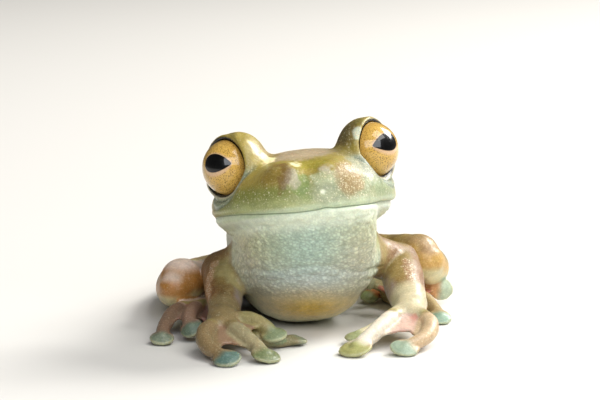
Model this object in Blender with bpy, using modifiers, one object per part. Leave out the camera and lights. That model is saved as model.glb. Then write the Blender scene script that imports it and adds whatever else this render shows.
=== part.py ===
"""Still, life-size model of a canal zone tree frog sitting on the floor and facing -Y.

All lengths are in millimetres; the finished solids are scaled to metres at the end.
X is the frog's left, Y runs back along the body and Z is up. The floor is Z = 0.
Every node is one closed solid. Neighbours keep a gap of 0.3 mm.
"""

import math
from functools import partial

import bmesh
import bpy
from mathutils import Matrix, Vector

MM = 0.001
GAP = 0.3
FLOOR = 0.0

# The model's origin: the middle of the belly's flat, on the floor
ORIGIN = Vector((-0.4, 5.5, 0.0))

# Skin finishes: base colour and roughness
SKIN_TOP = ("olive_skin", (0.30, 0.27, 0.08), 0.45)
SKIN_PALE = ("pale_skin", (0.55, 0.62, 0.48), 0.50)
SKIN_LEG = ("tan_skin", (0.50, 0.30, 0.12), 0.42)
SKIN_HAND = ("hand_skin", (0.48, 0.42, 0.24), 0.45)
EYE_GOLD = ("eye_gold", (0.70, 0.42, 0.07), 0.08)
EAR_SKIN = ("ear_skin", (0.38, 0.32, 0.12), 0.50)

# Head: its frame sits midway between the eyes
HEAD_CENTRE = Vector((0.05, -4.75, 16.75))
HEAD_YAW = 4.0
HEAD_PITCH = 10.0
HEAD_ROLL = 6.5
HEAD_BACK = -9.6
HEAD_TIP = 8.95
JAW_WIDEST_AT = -3.0
JAW_HALF_WIDTH = 8.72
EYE_SPREAD = 6.68
EYE_RADIUS = 2.68
EYE_AZIMUTH = 54.0
EYE_DIP = 2.0
# Place and radii of the brow over the right eye (-1) and the left eye (1)
BROWS = {-1: ((-5.65, -0.2, -0.3), (2.7, 3.7, 3.5)), 1: ((6.15, -0.2, -0.35), (2.5, 3.7, 3.4))}
LID_CONE = 85.0
LID_THICKNESS = 0.25
LID_SHELL = 0.65
LID_SLOPE = 0.45
MOUTH_LEVEL = -5.1
LIP_RADIUS = 0.42
LIP_TIP = 8.5
LIP_STEPS = 12
MOUTH_CORNER = -3.6
NOSTRIL = Vector((1.65, 7.45, -1.75))
NOSTRIL_RADIUS = 0.32
EAR_CENTRE = Vector((7.75, -3.9, -2.3))
EAR_RADIUS = 1.2
EAR_DEPTH = 0.55

# Torso sections: station along Y, floor side, back side and half width
TORSO_SECTIONS = (
    (-13.3, 11.6, 13.2, 1.4),
    (-12.8, 10.4, 13.8, 3.3),
    (-11.8, 8.8, 14.4, 4.9),
    (-10.3, 6.9, 14.9, 6.0),
    (-8.6, 4.8, 15.2, 6.3),
    (-6.8, 3.0, 15.4, 6.5),
    (-4.8, 1.6, 15.5, 6.6),
    (-2.5, 0.7, 15.6, 6.6),
    (0.5, 0.1, 15.6, 6.6),
    (4.0, -0.15, 15.3, 6.6),
    (8.0, -0.15, 14.7, 6.5),
    (12.0, -0.1, 13.8, 6.0),
    (16.0, 0.2, 12.2, 5.0),
    (20.0, 0.8, 10.0, 4.3),
    (23.5, 1.5, 7.9, 3.7),
    (26.0, 2.1, 6.2, 2.8),
    (27.4, 2.7, 5.1, 1.5),
    (27.9, 3.2, 4.5, 0.7),
)
SPINE_X = 0.5
SPINE_DRIFT = -0.105
TORSO_ROLL = 4.0
WIDEST_HEIGHT = ((-13.3, 0.66), (-9.0, 0.58), (0.0, 0.5), (16.0, 0.45), (28.0, 0.5))
BELLY_SQUARENESS = 2.5

# Limbs: each segment is a run of points with the radius there
UPPER_ARM = {
    "right": (((-3.6, -2.4, 6.7), 2.2), ((-6.2, -0.7, 5.85), 1.85), ((-7.7, 1.1, 5.0), 1.75)),
    "left": (((4.0, -2.6, 7.6), 2.4), ((7.2, -0.2, 6.6), 1.95), ((9.7, 2.4, 5.6), 1.8)),
}
FOREARM = {
    "right": (
        ((-7.8, 0.9, 4.9), 1.65), ((-7.4, -2.4, 4.4), 1.85),
        ((-7.2, -5.4, 3.4), 1.7), ((-7.1, -8.4, 2.5), 1.45),
    ),
    "left": (
        ((9.8, 2.1, 5.5), 1.75), ((9.9, -0.4, 4.7), 2.0),
        ((10.1, -2.8, 3.8), 1.9), ((10.5, -5.0, 2.9), 1.6),
    ),
}
PALM = {
    "right": (((-7.3, -8.6, 2.4), 1.35), ((-7.1, -10.4, 2.1), 1.6), ((-6.9, -11.7, 1.9), 1.4)),
    "left": (((10.6, -5.2, 2.8), 1.4), ((10.3, -6.8, 2.4), 1.6), ((10.1, -8.1, 2.2), 1.45)),
}
THIGH = {
    "right": (
        ((-3.4, 22.0, 3.5), 2.6), ((-6.4, 14.5, 2.55), 2.3), ((-9.2, 7.6, 2.9), 1.95),
        ((-10.7, 4.0, 3.3), 2.0), ((-11.5, 1.7, 3.8), 2.2),
    ),
    "left": (
        ((0.8, 22.2, 4.8), 2.7), ((4.4, 17.6, 4.4), 2.5), ((7.6, 13.2, 4.3), 2.2),
        ((10.2, 9.8, 5.05), 1.95), ((11.9, 7.2, 5.55), 1.9),
    ),
}
SHANK = {
    "right": (
        ((-12.1, 0.5, 3.2), 1.65), ((-12.5, 4.8, 2.4), 1.7), ((-12.4, 10.0, 2.2), 1.75),
        ((-11.2, 16.4, 1.9), 1.35), ((-8.8, 23.0, 1.6), 1.1),
    ),
    "left": (
        ((12.5, 6.3, 4.9), 1.75), ((13.1, 9.6, 3.7), 1.85), ((12.8, 14.0, 2.7), 1.8),
        ((11.0, 19.6, 2.2), 1.4), ((7.8, 25.6, 1.8), 1.15),
    ),
}
TARSUS = {
    "right": (((-8.4, 23.8, 1.5), 1.1), ((-8.7, 18.0, 1.3), 0.95), ((-8.9, 12.4, 1.3), 1.1)),
    "left": (((7.2, 26.2, 1.6), 1.15), ((7.6, 20.6, 1.3), 1.0), ((8.3, 16.0, 1.3), 1.1)),
}
SOLE = {
    "right": (((-8.9, 12.0, 1.25), 1.05), ((-8.9, 7.0, 1.2), 1.2), ((-8.9, 2.2, 1.15), 1.35)),
    "left": (((8.4, 15.6, 1.25), 1.05), ((8.9, 12.4, 1.2), 1.2), ((9.4, 9.4, 1.2), 1.3)),
}

# Digits: points of the bone line, radii at its ends, then the disc's centre, radius and facing
FINGERS = {
    "right": (
        (
            ((-6.1, -11.2, 1.4), (-4.2, -12.2, 0.95), (-2.2, -11.9, 0.7)),
            (0.75, 0.48), (-0.5, -10.6, 0.5), 1.2, (0.1, 0.1, 1.0),
        ),
        (
            ((-6.2, -11.0, 2.4), (-4.7, -11.5, 2.6), (-3.3, -12.3, 2.2)),
            (0.95, 0.6), (-2.4, -13.0, 1.6), 1.32, (-0.1, -0.55, 1.0),
        ),
        (
            ((-6.7, -12.2, 2.1), (-5.6, -14.2, 1.9), (-4.2, -16.2, 1.25)),
            (1.0, 0.66), (-3.1, -17.7, 0.62), 1.5, (0.2, -0.35, 1.0),
        ),
        (
            ((-7.5, -12.0, 2.1), (-8.7, -14.0, 1.9), (-8.5, -16.6, 1.2)),
            (1.0, 0.62), (-6.6, -19.0, 0.66), 1.38, (-0.1, -0.6, 1.0),
        ),
    ),
    "left": (
        (((9.9, -6.6, 1.6), (8.9, -5.9, 1.0)), (0.75, 0.5), (7.5, -5.6, 0.55), 1.05, (0.0, 0.0, 1.0)),
        (
            ((9.5, -7.6, 2.1), (8.2, -8.1, 1.5), (6.8, -8.8, 1.0)),
            (0.9, 0.55), (5.4, -9.9, 0.7), 1.25, (-0.1, -0.1, 1.0),
        ),
        (
            ((9.4, -8.4, 2.5), (8.1, -10.6, 2.2), (6.5, -13.0, 1.35)),
            (1.0, 0.72), (5.1, -14.8, 0.7), 1.7, (-0.2, -0.4, 1.0),
        ),
        (
            ((10.9, -8.6, 2.4), (12.1, -10.6, 2.0), (11.5, -12.9, 1.2)),
            (1.0, 0.62), (9.6, -14.6, 0.66), 1.4, (0.1, -0.6, 1.0),
        ),
    ),
}
TOES = {
    "right": (
        (((-8.0, 3.0, 1.0), (-6.8, 1.2, 0.8)), (0.55, 0.42), (-5.9, -0.4, 0.5), 0.9, (0.0, 0.0, 1.0)),
        (
            ((-8.3, 1.6, 1.0), (-7.4, -0.4, 0.9), (-6.8, -2.2, 0.75)),
            (0.6, 0.45), (-6.1, -3.8, 0.5), 0.95, (0.0, 0.0, 1.0),
        ),
        (
            ((-8.8, 1.2, 1.1), (-8.7, -1.6, 1.1), (-8.5, -4.2, 0.85)),
            (0.7, 0.5), (-8.2, -6.2, 0.5), 1.05, (0.0, 0.0, 1.0),
        ),
        (
            ((-9.3, 1.2, 1.3), (-10.2, -3.2, 1.9), (-10.5, -6.6, 1.7)),
            (0.8, 0.6), (-10.2, -8.8, 1.25), 1.15, (-0.5, -0.7, 1.0),
        ),
        (
            ((-9.8, 2.0, 1.2), (-11.9, -2.8, 1.7), (-12.8, -7.2, 1.1)),
            (0.8, 0.6), (-12.9, -10.1, 0.55), 1.2, (0.0, -0.3, 1.0),
        ),
    ),
    "left": (
        (((8.6, 11.2, 1.1), (7.9, 10.4, 1.0)), (0.55, 0.45), (7.0, 9.4, 0.75), 0.95, (0.0, -0.5, 1.0)),
        (((8.9, 9.2, 1.6), (7.8, 7.9, 2.2)), (0.6, 0.5), (6.8, 6.5, 2.8), 0.9, (1.0, -0.1, 0.3)),
        (
            ((9.5, 8.6, 1.1), (10.4, 4.6, 1.2), (10.8, 1.8, 0.85)),
            (0.7, 0.5), (10.9, 0.0, 0.5), 1.05, (0.0, 0.0, 1.0),
        ),
        (
            ((10.1, 9.0, 1.2), (12.2, 5.0, 1.4), (13.2, 1.8, 0.95)),
            (0.75, 0.55), (13.6, -0.4, 0.55), 1.15, (0.1, -0.4, 1.0),
        ),
        (
            ((10.3, 10.0, 1.3), (12.0, 9.8, 1.6)),
            (0.75, 0.6), (14.2, 8.9, 1.55), 1.15, (0.1, -1.0, 0.25),
        ),
    ),
}
DISC_THICKNESS = 0.44
HAND_WEB_REACH = (0.40, 0.60, 0.72)
FOOT_WEB_REACH = (0.60, 0.80, 0.85, 0.85)
WEB_THICKNESS = 0.55
WEB_HOLLOW = 0.35
ARM_SIDES = 3
DIGIT_SIDES = 1
SIDES = ("right", "left")

parts = bpy.data.collections.new("tree_frog")
cutters = bpy.data.collections.new("cutters")


def clear_scene():
    for old in list(bpy.data.objects):
        bpy.data.objects.remove(old)
    for group in (parts, cutters):
        bpy.context.scene.collection.children.link(group)


def mesh_object(name, mesh, group=cutters):
    made = bpy.data.objects.new(name, mesh)
    group.objects.link(made)
    return made


def evaluated_mesh(source):
    bpy.context.view_layer.update()
    graph = bpy.context.evaluated_depsgraph_get()
    return bpy.data.meshes.new_from_object(source.evaluated_get(graph))


def apply_modifiers(target):
    """Bakes the modifiers into the mesh, so that later cuts read a plain mesh."""
    done = evaluated_mesh(target)
    target.modifiers.clear()
    target.data = done
    return target


def from_bmesh(name, bm):
    mesh = bpy.data.meshes.new(name)
    bm.normal_update()
    bmesh.ops.recalc_face_normals(bm, faces=bm.faces[:])
    bm.to_mesh(mesh)
    bm.free()
    return mesh_object(name, mesh)


def ball(name, centre, radii, turn=Matrix.Identity(3), segments=14, rings=8, by=0.0):
    """Ellipsoid with its own axes turned by a 3x3 matrix, and grown by a margin."""
    bm = bmesh.new()
    bmesh.ops.create_uvsphere(bm, u_segments=segments, v_segments=rings, radius=1.0)
    shape = turn @ Matrix.Diagonal(Vector([r + by for r in radii]))
    for v in bm.verts:
        v.co = Vector(centre) + shape @ v.co
    return from_bmesh(name, bm)


def facing(normal, along=Vector((0, 1, 0))):
    """3x3 matrix whose Z axis is the normal and whose Y axis stays near along."""
    z = Vector(normal).normalized()
    x = Vector(along).cross(z).normalized()
    return Matrix((x, z.cross(x), z)).transposed()


def catmull(points, t):
    """Point at t, 0 to 1, on the smooth curve through the points."""
    spans = len(points) - 1
    place = min(t * spans, spans - 1e-9)
    i = int(place)
    u = place - i
    p1, p2 = points[i], points[i + 1]
    p0 = points[i - 1] if i > 0 else [2 * a - b for a, b in zip(p1, p2)]
    p3 = points[i + 2] if i + 2 <= spans else [2 * b - a for a, b in zip(p1, p2)]
    return [
        0.5 * (2 * b + (c - a) * u + (2 * a - 5 * b + 4 * c - d) * u * u + (3 * b - a - 3 * c + d) * u ** 3)
        for a, b, c, d in zip(p0, p1, p2, p3)
    ]


def smooth_run(stations, count):
    """Even stations on the curve through (point, radius) pairs, with round ends added."""
    rows = [(*point, radius) for point, radius in stations]
    run = [catmull(rows, i / (count - 1)) for i in range(count)]
    run = [(Vector(row[:3]), row[3]) for row in run]
    (first, first_radius), (last, last_radius) = run[0], run[-1]
    back = (first - run[1][0]).normalized()
    ahead = (last - run[-2][0]).normalized()
    ends = (math.radians(72), math.radians(36))
    start = [(first + back * first_radius * math.sin(a), first_radius * math.cos(a)) for a in ends]
    finish = [(last + ahead * last_radius * math.sin(a), last_radius * math.cos(a)) for a in reversed(ends)]
    return start + run + finish


def tube(name, stations, count, sides=ARM_SIDES, by=0.0):
    """Round limb with a changing radius, made as a bevelled curve and then a mesh."""
    run = smooth_run([(point, radius + by) for point, radius in stations], count)
    curve = bpy.data.curves.new(name, "CURVE")
    curve.dimensions = "3D"
    curve.bevel_depth = 1.0
    curve.bevel_resolution = sides
    curve.use_fill_caps = True
    spline = curve.splines.new("POLY")
    spline.points.add(len(run) - 1)
    for target, (point, radius) in zip(spline.points, run):
        target.co = (*point, 1.0)
        target.radius = radius
    guide = bpy.data.objects.new(name + "_line", curve)
    cutters.objects.link(guide)
    mesh = evaluated_mesh(guide)
    bpy.data.objects.remove(guide)
    bm = bmesh.new()
    bm.from_mesh(mesh)
    bmesh.ops.remove_doubles(bm, verts=bm.verts[:], dist=0.0001)
    return from_bmesh(name, bm)


def loft(name, rings):
    """Skin over closed rings of equal count, with a fan of triangles at each end."""
    bm = bmesh.new()
    rows = [[bm.verts.new(point) for point in ring] for ring in rings]
    count = len(rows[0])
    for low, high in zip(rows, rows[1:]):
        for i in range(count):
            j = (i + 1) % count
            bm.faces.new((low[i], low[j], high[j], high[i]))
    for row in (rows[0], rows[-1]):
        centre = sum((v.co for v in row), Vector()) / count
        pole = bm.verts.new(centre)
        for i in range(count):
            bm.faces.new((row[i], row[(i + 1) % count], pole))
    return from_bmesh(name, bm)


def boolean(target, operation, others):
    """Joins the others to the target, or cuts them from it, and removes them.

    EXACT leaves open edges where many thin pieces overlap, so MANIFOLD does it here.
    """
    group = bpy.data.collections.new("operands")
    bpy.context.scene.collection.children.link(group)
    for other in others:
        for old in other.users_collection:
            old.objects.unlink(other)
        group.objects.link(other)
    step = target.modifiers.new(operation.lower(), "BOOLEAN")
    step.operation = operation
    step.operand_type = "COLLECTION"
    step.collection = group
    step.solver = "MANIFOLD"
    apply_modifiers(target)
    for other in others:
        bpy.data.objects.remove(other)
    bpy.data.collections.remove(group)
    return target


def loose_pieces(target):
    """Meshes of a solid's loose pieces, largest first."""
    bm = bmesh.new()
    bm.from_mesh(target.data)
    bm.verts.ensure_lookup_table()
    left = set(range(len(bm.verts)))
    pieces = []
    while left:
        group = {left.pop()}
        open_ends = list(group)
        while open_ends:
            v = bm.verts[open_ends.pop()]
            for link in v.link_edges:
                other = link.other_vert(v).index
                if other not in group:
                    group.add(other)
                    open_ends.append(other)
        left -= group
        copy = bm.copy()
        bmesh.ops.delete(copy, geom=[v for v in copy.verts if v.index not in group], context="VERTS")
        size = abs(copy.calc_volume(signed=True))
        mesh = bpy.data.meshes.new(target.name)
        copy.to_mesh(mesh)
        copy.free()
        pieces.append((size, mesh))
    bm.free()
    pieces.sort(key=lambda piece: piece[0], reverse=True)
    return [mesh for _, mesh in pieces]


def keep_largest(target):
    """Drops sealed hollows and scraps."""
    target.data = loose_pieces(target)[0]
    return target


def split_in_two(target):
    """Turns a solid cut through by a thin sheet into its two main pieces."""
    large, small = loose_pieces(target)[:2]
    target.data = large
    return target, mesh_object(target.name + "_second", small)


def clear_of(target, forms):
    """Cuts neighbours from the target, each built again larger by the gap."""
    boolean(target, "DIFFERENCE", [form(by=GAP) for form in forms])
    return keep_largest(target)


def hull_of(targets, by=0.0):
    """Convex skin round some solids, moved out by a margin."""
    bm = bmesh.new()
    for target in targets:
        for v in target.data.vertices:
            bm.verts.new(v.co)
    bmesh.ops.convex_hull(bm, input=bm.verts[:])
    bmesh.ops.delete(bm, geom=[v for v in bm.verts if not v.link_faces], context="VERTS")
    skin = from_bmesh("hull", bm)
    step = skin.modifiers.new("grow", "DISPLACE")
    step.mid_level = 0.0
    step.strength = by
    return apply_modifiers(skin)


def box_cutter(name, low, high):
    bm = bmesh.new()
    bmesh.ops.create_cube(bm, size=1.0)
    for v in bm.verts:
        v.co = Vector(((l + h) / 2 + c * (h - l) for l, h, c in zip(low, high, v.co)))
    return from_bmesh(name, bm)


def stand_on_floor(target):
    """Cuts the flat where the solid rests."""
    return boolean(target, "DIFFERENCE", [box_cutter("floor", (-30, -40, -9), (30, 40, FLOOR))])


def finish_node(target, name, finish):
    """Names a solid as a node, gives it its material and shades it smooth."""
    title, colour, roughness = finish
    skin = bpy.data.materials.get(title) or bpy.data.materials.new(title)
    skin.use_nodes = True
    shader = skin.node_tree.nodes["Principled BSDF"]
    shader.inputs["Base Color"].default_value = (*colour, 1.0)
    shader.inputs["Roughness"].default_value = roughness
    target.data.materials.clear()
    target.data.materials.append(skin)
    target.name = name
    return target


def hand_over():
    """Sets every finished node about the origin, in metres, in the model's collection."""
    place = Matrix.Scale(MM, 4) @ Matrix.Translation(-ORIGIN)
    for target in list(cutters.objects):
        if target.data.materials:
            target.data.transform(place)
            target.data.shade_smooth()
            cutters.objects.unlink(target)
            parts.objects.link(target)
        else:
            bpy.data.objects.remove(target)


def head_frame():
    """Turn from the head's own axes (left, ahead, up) to the model's."""
    base = Matrix(((1, 0, 0), (0, -1, 0), (0, 0, 1)))
    yaw = Matrix.Rotation(math.radians(HEAD_YAW), 3, "Z")
    pitch = Matrix.Rotation(math.radians(-HEAD_PITCH), 3, "X")
    roll = Matrix.Rotation(math.radians(-HEAD_ROLL), 3, "Y")
    return yaw @ pitch @ roll @ base


HEAD_TURN = head_frame()


def on_head(left, ahead, up):
    """Point of the head given in the head's own axes."""
    return HEAD_CENTRE + HEAD_TURN @ Vector((left, ahead, up))


def blend_at(x, table):
    """Value at x between the entries of a table of (x, value) pairs in rising order."""
    if x <= table[0][0]:
        return table[0][1]
    for (x0, y0), (x1, y1) in zip(table, table[1:]):
        if x <= x1:
            t = (x - x0) / (x1 - x0)
            return y0 + (y1 - y0) * t
    return table[-1][1]


CROWN = (
    (-9.6, -1.5), (-6.5, -0.1), (-3.0, 0.6), (0.0, 0.8), (3.0, 0.4), (5.0, -0.3), (7.0, -1.17), (8.0, -1.95),
    (8.6, -2.75), (8.95, -3.9),
)
CHIN = (
    (-9.6, -7.6), (-6.5, -8.4), (-3.0, -8.0), (0.0, -7.4), (3.0, -7.0), (5.0, -6.7), (7.0, -6.3), (8.0, -5.9),
    (8.6, -5.3), (8.95, -4.1),
)
CHEEK = -3.9


def head_half_width(ahead):
    reach = (ahead - JAW_WIDEST_AT) / (HEAD_TIP - JAW_WIDEST_AT)
    if reach > 0:
        return JAW_HALF_WIDTH * math.sqrt(max(0.0, 1 - reach ** 2.2))
    return JAW_HALF_WIDTH - 0.085 * (ahead - JAW_WIDEST_AT) ** 2


def head_ring(ahead, count=28):
    """Cross-section of the head: domed above the cheek line, shallow below it."""
    half = head_half_width(ahead)
    crown, chin = blend_at(ahead, CROWN), blend_at(ahead, CHIN)
    ring = []
    for i in range(count):
        angle = 2 * math.pi * i / count
        across, rise = math.cos(angle), math.sin(angle)
        side = math.copysign(abs(across) ** 0.92, across) * half
        span = crown - CHEEK if rise > 0 else CHEEK - chin
        ring.append(on_head(side, ahead, CHEEK + rise * span))
    return ring


def lip(level):
    """Soft roll that follows the jaw's outline just above or below the mouth."""
    inset = LIP_RADIUS * 1.1
    line = []
    for step in range(LIP_STEPS + 1):
        angle = math.pi * step / LIP_STEPS
        ahead = JAW_WIDEST_AT + (LIP_TIP - inset - JAW_WIDEST_AT) * math.sin(angle) ** 0.91
        line.append((on_head((JAW_HALF_WIDTH - inset) * math.cos(angle), ahead, level), LIP_RADIUS))
    return tube("lip", line, 2 * LIP_STEPS - 3, 1)


def eye_axis(side):
    """Direction the eye looks in, in the head's axes."""
    turn, dip = math.radians(EYE_AZIMUTH), math.radians(-EYE_DIP)
    return Vector((side * math.sin(turn) * math.cos(dip), math.cos(turn) * math.cos(dip), math.sin(dip)))


def eye_socket(side):
    """Centre, axis turn and radius of the eye's opening."""
    look = HEAD_TURN @ eye_axis(side)
    cone = math.radians(LID_CONE)
    centre = on_head(side * EYE_SPREAD, 0, 0) + look * EYE_RADIUS * math.cos(cone)
    return centre, facing(look, Vector((0, 0, 1))), EYE_RADIUS * math.sin(cone) + GAP


def turned_ring(name, centre, turn, profile, around=24):
    """Solid or ring swept round an axis from a closed (radius, height) profile."""
    bm = bmesh.new()
    rows = []
    for i in range(around):
        a = 2 * math.pi * i / around
        spots = [Vector((math.cos(a) * r, math.sin(a) * r, h)) for r, h in profile]
        rows.append([bm.verts.new(centre + turn @ spot) for spot in spots])
    count = len(profile)
    for i in range(around):
        for j in range(count):
            n, m = (i + 1) % around, (j + 1) % count
            bm.faces.new((rows[i][j], rows[n][j], rows[n][m], rows[i][m]))
    return from_bmesh(name, bm)


def lid_ring(side, across=6):
    """Fleshy rim round the eye's opening."""
    centre, turn, radius = eye_socket(side)
    profile = []
    for j in range(across):
        b = 2 * math.pi * j / across
        profile.append((radius + LID_THICKNESS * (0.8 + math.cos(b)), LID_THICKNESS * math.sin(b)))
    return turned_ring("lid", centre, turn, profile)


def eye_opening(side, depth=4.0):
    """Flaring plug that clears the flesh in front of the eye."""
    centre, turn, radius = eye_socket(side)
    angles = [2 * math.pi * i / 28 for i in range(28)]
    rings = []
    for height in (0.0, depth):
        wide = radius + LID_THICKNESS + height * LID_SLOPE
        spots = [Vector((math.cos(a) * wide, math.sin(a) * wide, height)) for a in angles]
        rings.append([centre + turn @ spot for spot in spots])
    return loft("opening", rings)


def mouth_cutter():
    """Thin bent sheet that parts the lower jaw: level along the mouth, then down behind its corner."""
    level = ((10.5, 0.0), (4.0, 0.0), (-2.0, 0.0), (MOUTH_CORNER, 0.05))
    line = (*level, (-4.5, -0.9), (-5.0, -2.4), (-5.2, -6.0))
    bm = bmesh.new()
    half = 11.0
    rows = [[bm.verts.new(on_head(s * half, f, MOUTH_LEVEL + b)) for s in (-1, 1)] for f, b in line]
    for low, high in zip(rows, rows[1:]):
        bm.faces.new((low[0], low[1], high[1], high[0]))
    mesh = bpy.data.meshes.new("mouth")
    bm.to_mesh(mesh)
    bm.free()
    sheet = mesh_object("mouth", mesh)
    step = sheet.modifiers.new("thickness", "SOLIDIFY")
    step.thickness = GAP
    step.offset = 0.0
    return apply_modifiers(sheet)


def eye_form(side, by=0.0):
    turn = facing(HEAD_TURN @ eye_axis(side), Vector((0, 0, 1)))
    return ball("eye", on_head(side * EYE_SPREAD, 0, 0), [EYE_RADIUS] * 3, turn, 20, 12, by)


def ear_form(side, by=0.0):
    """Eardrum: a low disc set flush behind the eye."""
    out = HEAD_TURN @ Vector((side * 0.96, -0.12, 0.22))
    centre = on_head(side * EAR_CENTRE.x, EAR_CENTRE.y, EAR_CENTRE.z)
    radii = (EAR_RADIUS, EAR_RADIUS, EAR_DEPTH)
    return ball("eardrum", centre, radii, facing(out, Vector((0, 0, 1))), 16, 7, by)


def make_pair(name, form, finish):
    """A node on each side, and the functions that build them larger for cuts."""
    forms = [partial(form, side) for side in (-1, 1)]
    for side, build in zip(SIDES, forms):
        finish_node(build(), f"{name}_{side}", finish)
    return forms


def make_head(set_in):
    """Skull with brows over the eyes, lids and nostrils; the lower jaw is cut from it."""
    stations = [HEAD_BACK, -8.0, -6.5, -5.2, -3.6, -2.0, -0.4, 1.2, 2.8, 4.3, 5.6, 6.7, 7.6, 8.2, 8.6, 8.85]
    form = loft("head_form", [head_ring(f) for f in stations])
    brows = []
    for side in (-1, 1):
        spot, radii = BROWS[side]
        brows.append(ball("brow", on_head(*spot), radii, HEAD_TURN, 20, 12))
        behind = on_head(side * EYE_SPREAD, 0, 0) - HEAD_TURN @ eye_axis(side) * GAP
        brows.append(ball("lid_shell", behind, [EYE_RADIUS + LID_SHELL] * 3, HEAD_TURN, 20, 12))
        snout = on_head(side * 2.2, 5.6, -2.4)
        brows.append(ball("snout_side", snout, (2.3, 2.9, 1.9), HEAD_TURN, 16, 10))
        bump = on_head(side * 1.6, 7.2, -2.05)
        brows.append(ball("nostril_bump", bump, (0.8, 0.9, 0.75), HEAD_TURN, 12, 8))
    boolean(form, "UNION", brows)
    remesh = form.modifiers.new("even", "REMESH")
    remesh.mode = "VOXEL"
    remesh.voxel_size = 0.3
    relax = form.modifiers.new("relax", "SMOOTH")
    relax.factor = 0.5
    relax.iterations = 9
    thin = form.modifiers.new("thin", "DECIMATE")
    thin.ratio = 0.085
    apply_modifiers(form)
    boolean(form, "DIFFERENCE", [eye_opening(-1), eye_opening(1)])
    lips = [lip(MOUTH_LEVEL + rise) for rise in (LIP_RADIUS, -LIP_RADIUS)]
    boolean(form, "UNION", [lid_ring(-1), lid_ring(1), *lips])
    pits = []
    for side in (-1, 1):
        pit = Vector((side * NOSTRIL.x, NOSTRIL.y, NOSTRIL.z))
        pits.append(ball("nostril", on_head(*pit), [NOSTRIL_RADIUS] * 3, HEAD_TURN, 10, 6))
    boolean(form, "DIFFERENCE", pits + [build(by=GAP) for build in set_in])
    boolean(form, "DIFFERENCE", [mouth_cutter()])
    upper, lower = split_in_two(form)
    return finish_node(upper, "head", SKIN_TOP), finish_node(lower, "lower_jaw", SKIN_PALE)


def torso_ring(station, low, high, half, count=26):
    """Egg-shaped section, widest above its middle, rolled with the body."""
    middle = low + (high - low) * blend_at(station, WIDEST_HEIGHT)
    centre = Vector((SPINE_X + SPINE_DRIFT * (station + 3), station, middle))
    roll = Matrix.Rotation(math.radians(-TORSO_ROLL), 3, "Y")
    ring = []
    for i in range(count):
        angle = 2 * math.pi * i / count
        across, rise = math.cos(angle), math.sin(angle)
        span = high - middle
        if rise < 0:
            span = middle - low
            across = math.copysign(abs(across) ** (2 / BELLY_SQUARENESS), across)
            rise = -abs(rise) ** (2 / BELLY_SQUARENESS)
        ring.append(centre + roll @ Vector((across * half, 0, rise * span)))
    return ring


def torso_form(by=0.0):
    rings = []
    for station, low, high, half in TORSO_SECTIONS:
        rings.append(torso_ring(station, low - by, high + by, half + by))
    return loft("torso", rings)


def make_torso(head_forms):
    torso = clear_of(torso_form(), head_forms)
    return finish_node(stand_on_floor(torso), "torso", SKIN_TOP)


def limb_form(name, stations, count):
    """Function that builds a limb segment at its own size or larger by a margin."""
    return partial(tube, name, stations, count)


def digit_forms(name, line, radii, disc, radius, normal):
    """Functions that build a finger or toe: the bone and its round adhesive disc."""
    steps = len(line)
    thick = [radii[0] + (radii[1] - radii[0]) * i / steps for i in range(steps + 1)]
    bone = partial(tube, name, list(zip([*line, disc], thick)), 1 + 2 * steps, DIGIT_SIDES)
    turn = facing(normal, Vector(disc) - Vector(line[-1]))
    pad = partial(ball, name + "_disc", disc, (radius * 0.95, radius, DISC_THICKNESS), turn, 12, 5)
    return [bone, pad]


def web(first, second, reach):
    """Thin skin between two digits with a hollow free edge, split alike on both faces."""
    along, across = 3, 3
    lines = [[*d[0], d[2]] for d in (first, second)]
    bm = bmesh.new()
    grid = []
    for i in range(along + 1):
        row = []
        for j in range(across + 1):
            t = j / across
            u = reach * (1 - WEB_HOLLOW * math.sin(math.pi * t)) * i / along
            a, b = (Vector(catmull([tuple(p) for p in line], u)) for line in lines)
            row.append(bm.verts.new(a.lerp(b, t)))
        grid.append(row)
    for i in range(along):
        for j in range(across):
            corners = grid[i][j], grid[i + 1][j], grid[i + 1][j + 1], grid[i][j + 1]
            bm.faces.new((corners[0], corners[1], corners[2]))
            bm.faces.new((corners[0], corners[2], corners[3]))
    bm.normal_update()
    bmesh.ops.recalc_face_normals(bm, faces=bm.faces[:])
    mesh = bpy.data.meshes.new("web")
    bm.to_mesh(mesh)
    bm.free()
    sheet = mesh_object("web", mesh)
    step = sheet.modifiers.new("thickness", "SOLIDIFY")
    step.thickness = WEB_THICKNESS
    step.offset = 0.0
    return apply_modifiers(sheet)


def spread_hand(name, palm, digits, reaches):
    """Palm or sole joined with its digits, discs and webs."""
    forms = [palm]
    for digit in digits:
        forms += digit_forms(name, *digit)
    pieces = [form() for form in forms[1:]]
    pieces += [web(a, b, reach) for a, b, reach in zip(digits, digits[1:], reaches)]
    whole = keep_largest(boolean(palm(), "UNION", pieces))
    return whole, forms


def make_arm(side, body):
    """Upper arm, forearm and hand, each cut clear of the one before."""
    upper = limb_form("upper_arm", UPPER_ARM[side], 8)
    fore = limb_form("forearm", FOREARM[side], 9)
    palm = limb_form("hand", PALM[side], 6)
    hand, hand_forms = spread_hand("finger", palm, FINGERS[side], HAND_WEB_REACH)
    nodes = (
        ("upper_arm", clear_of(upper(), body), SKIN_LEG),
        ("forearm", clear_of(fore(), [*body, upper]), SKIN_LEG),
        ("hand", clear_of(hand, [*body, upper, fore]), SKIN_HAND),
    )
    for name, node, finish in nodes:
        finish_node(keep_largest(stand_on_floor(node)), f"{name}_{side}", finish)
    return [upper, fore, *hand_forms]


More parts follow.
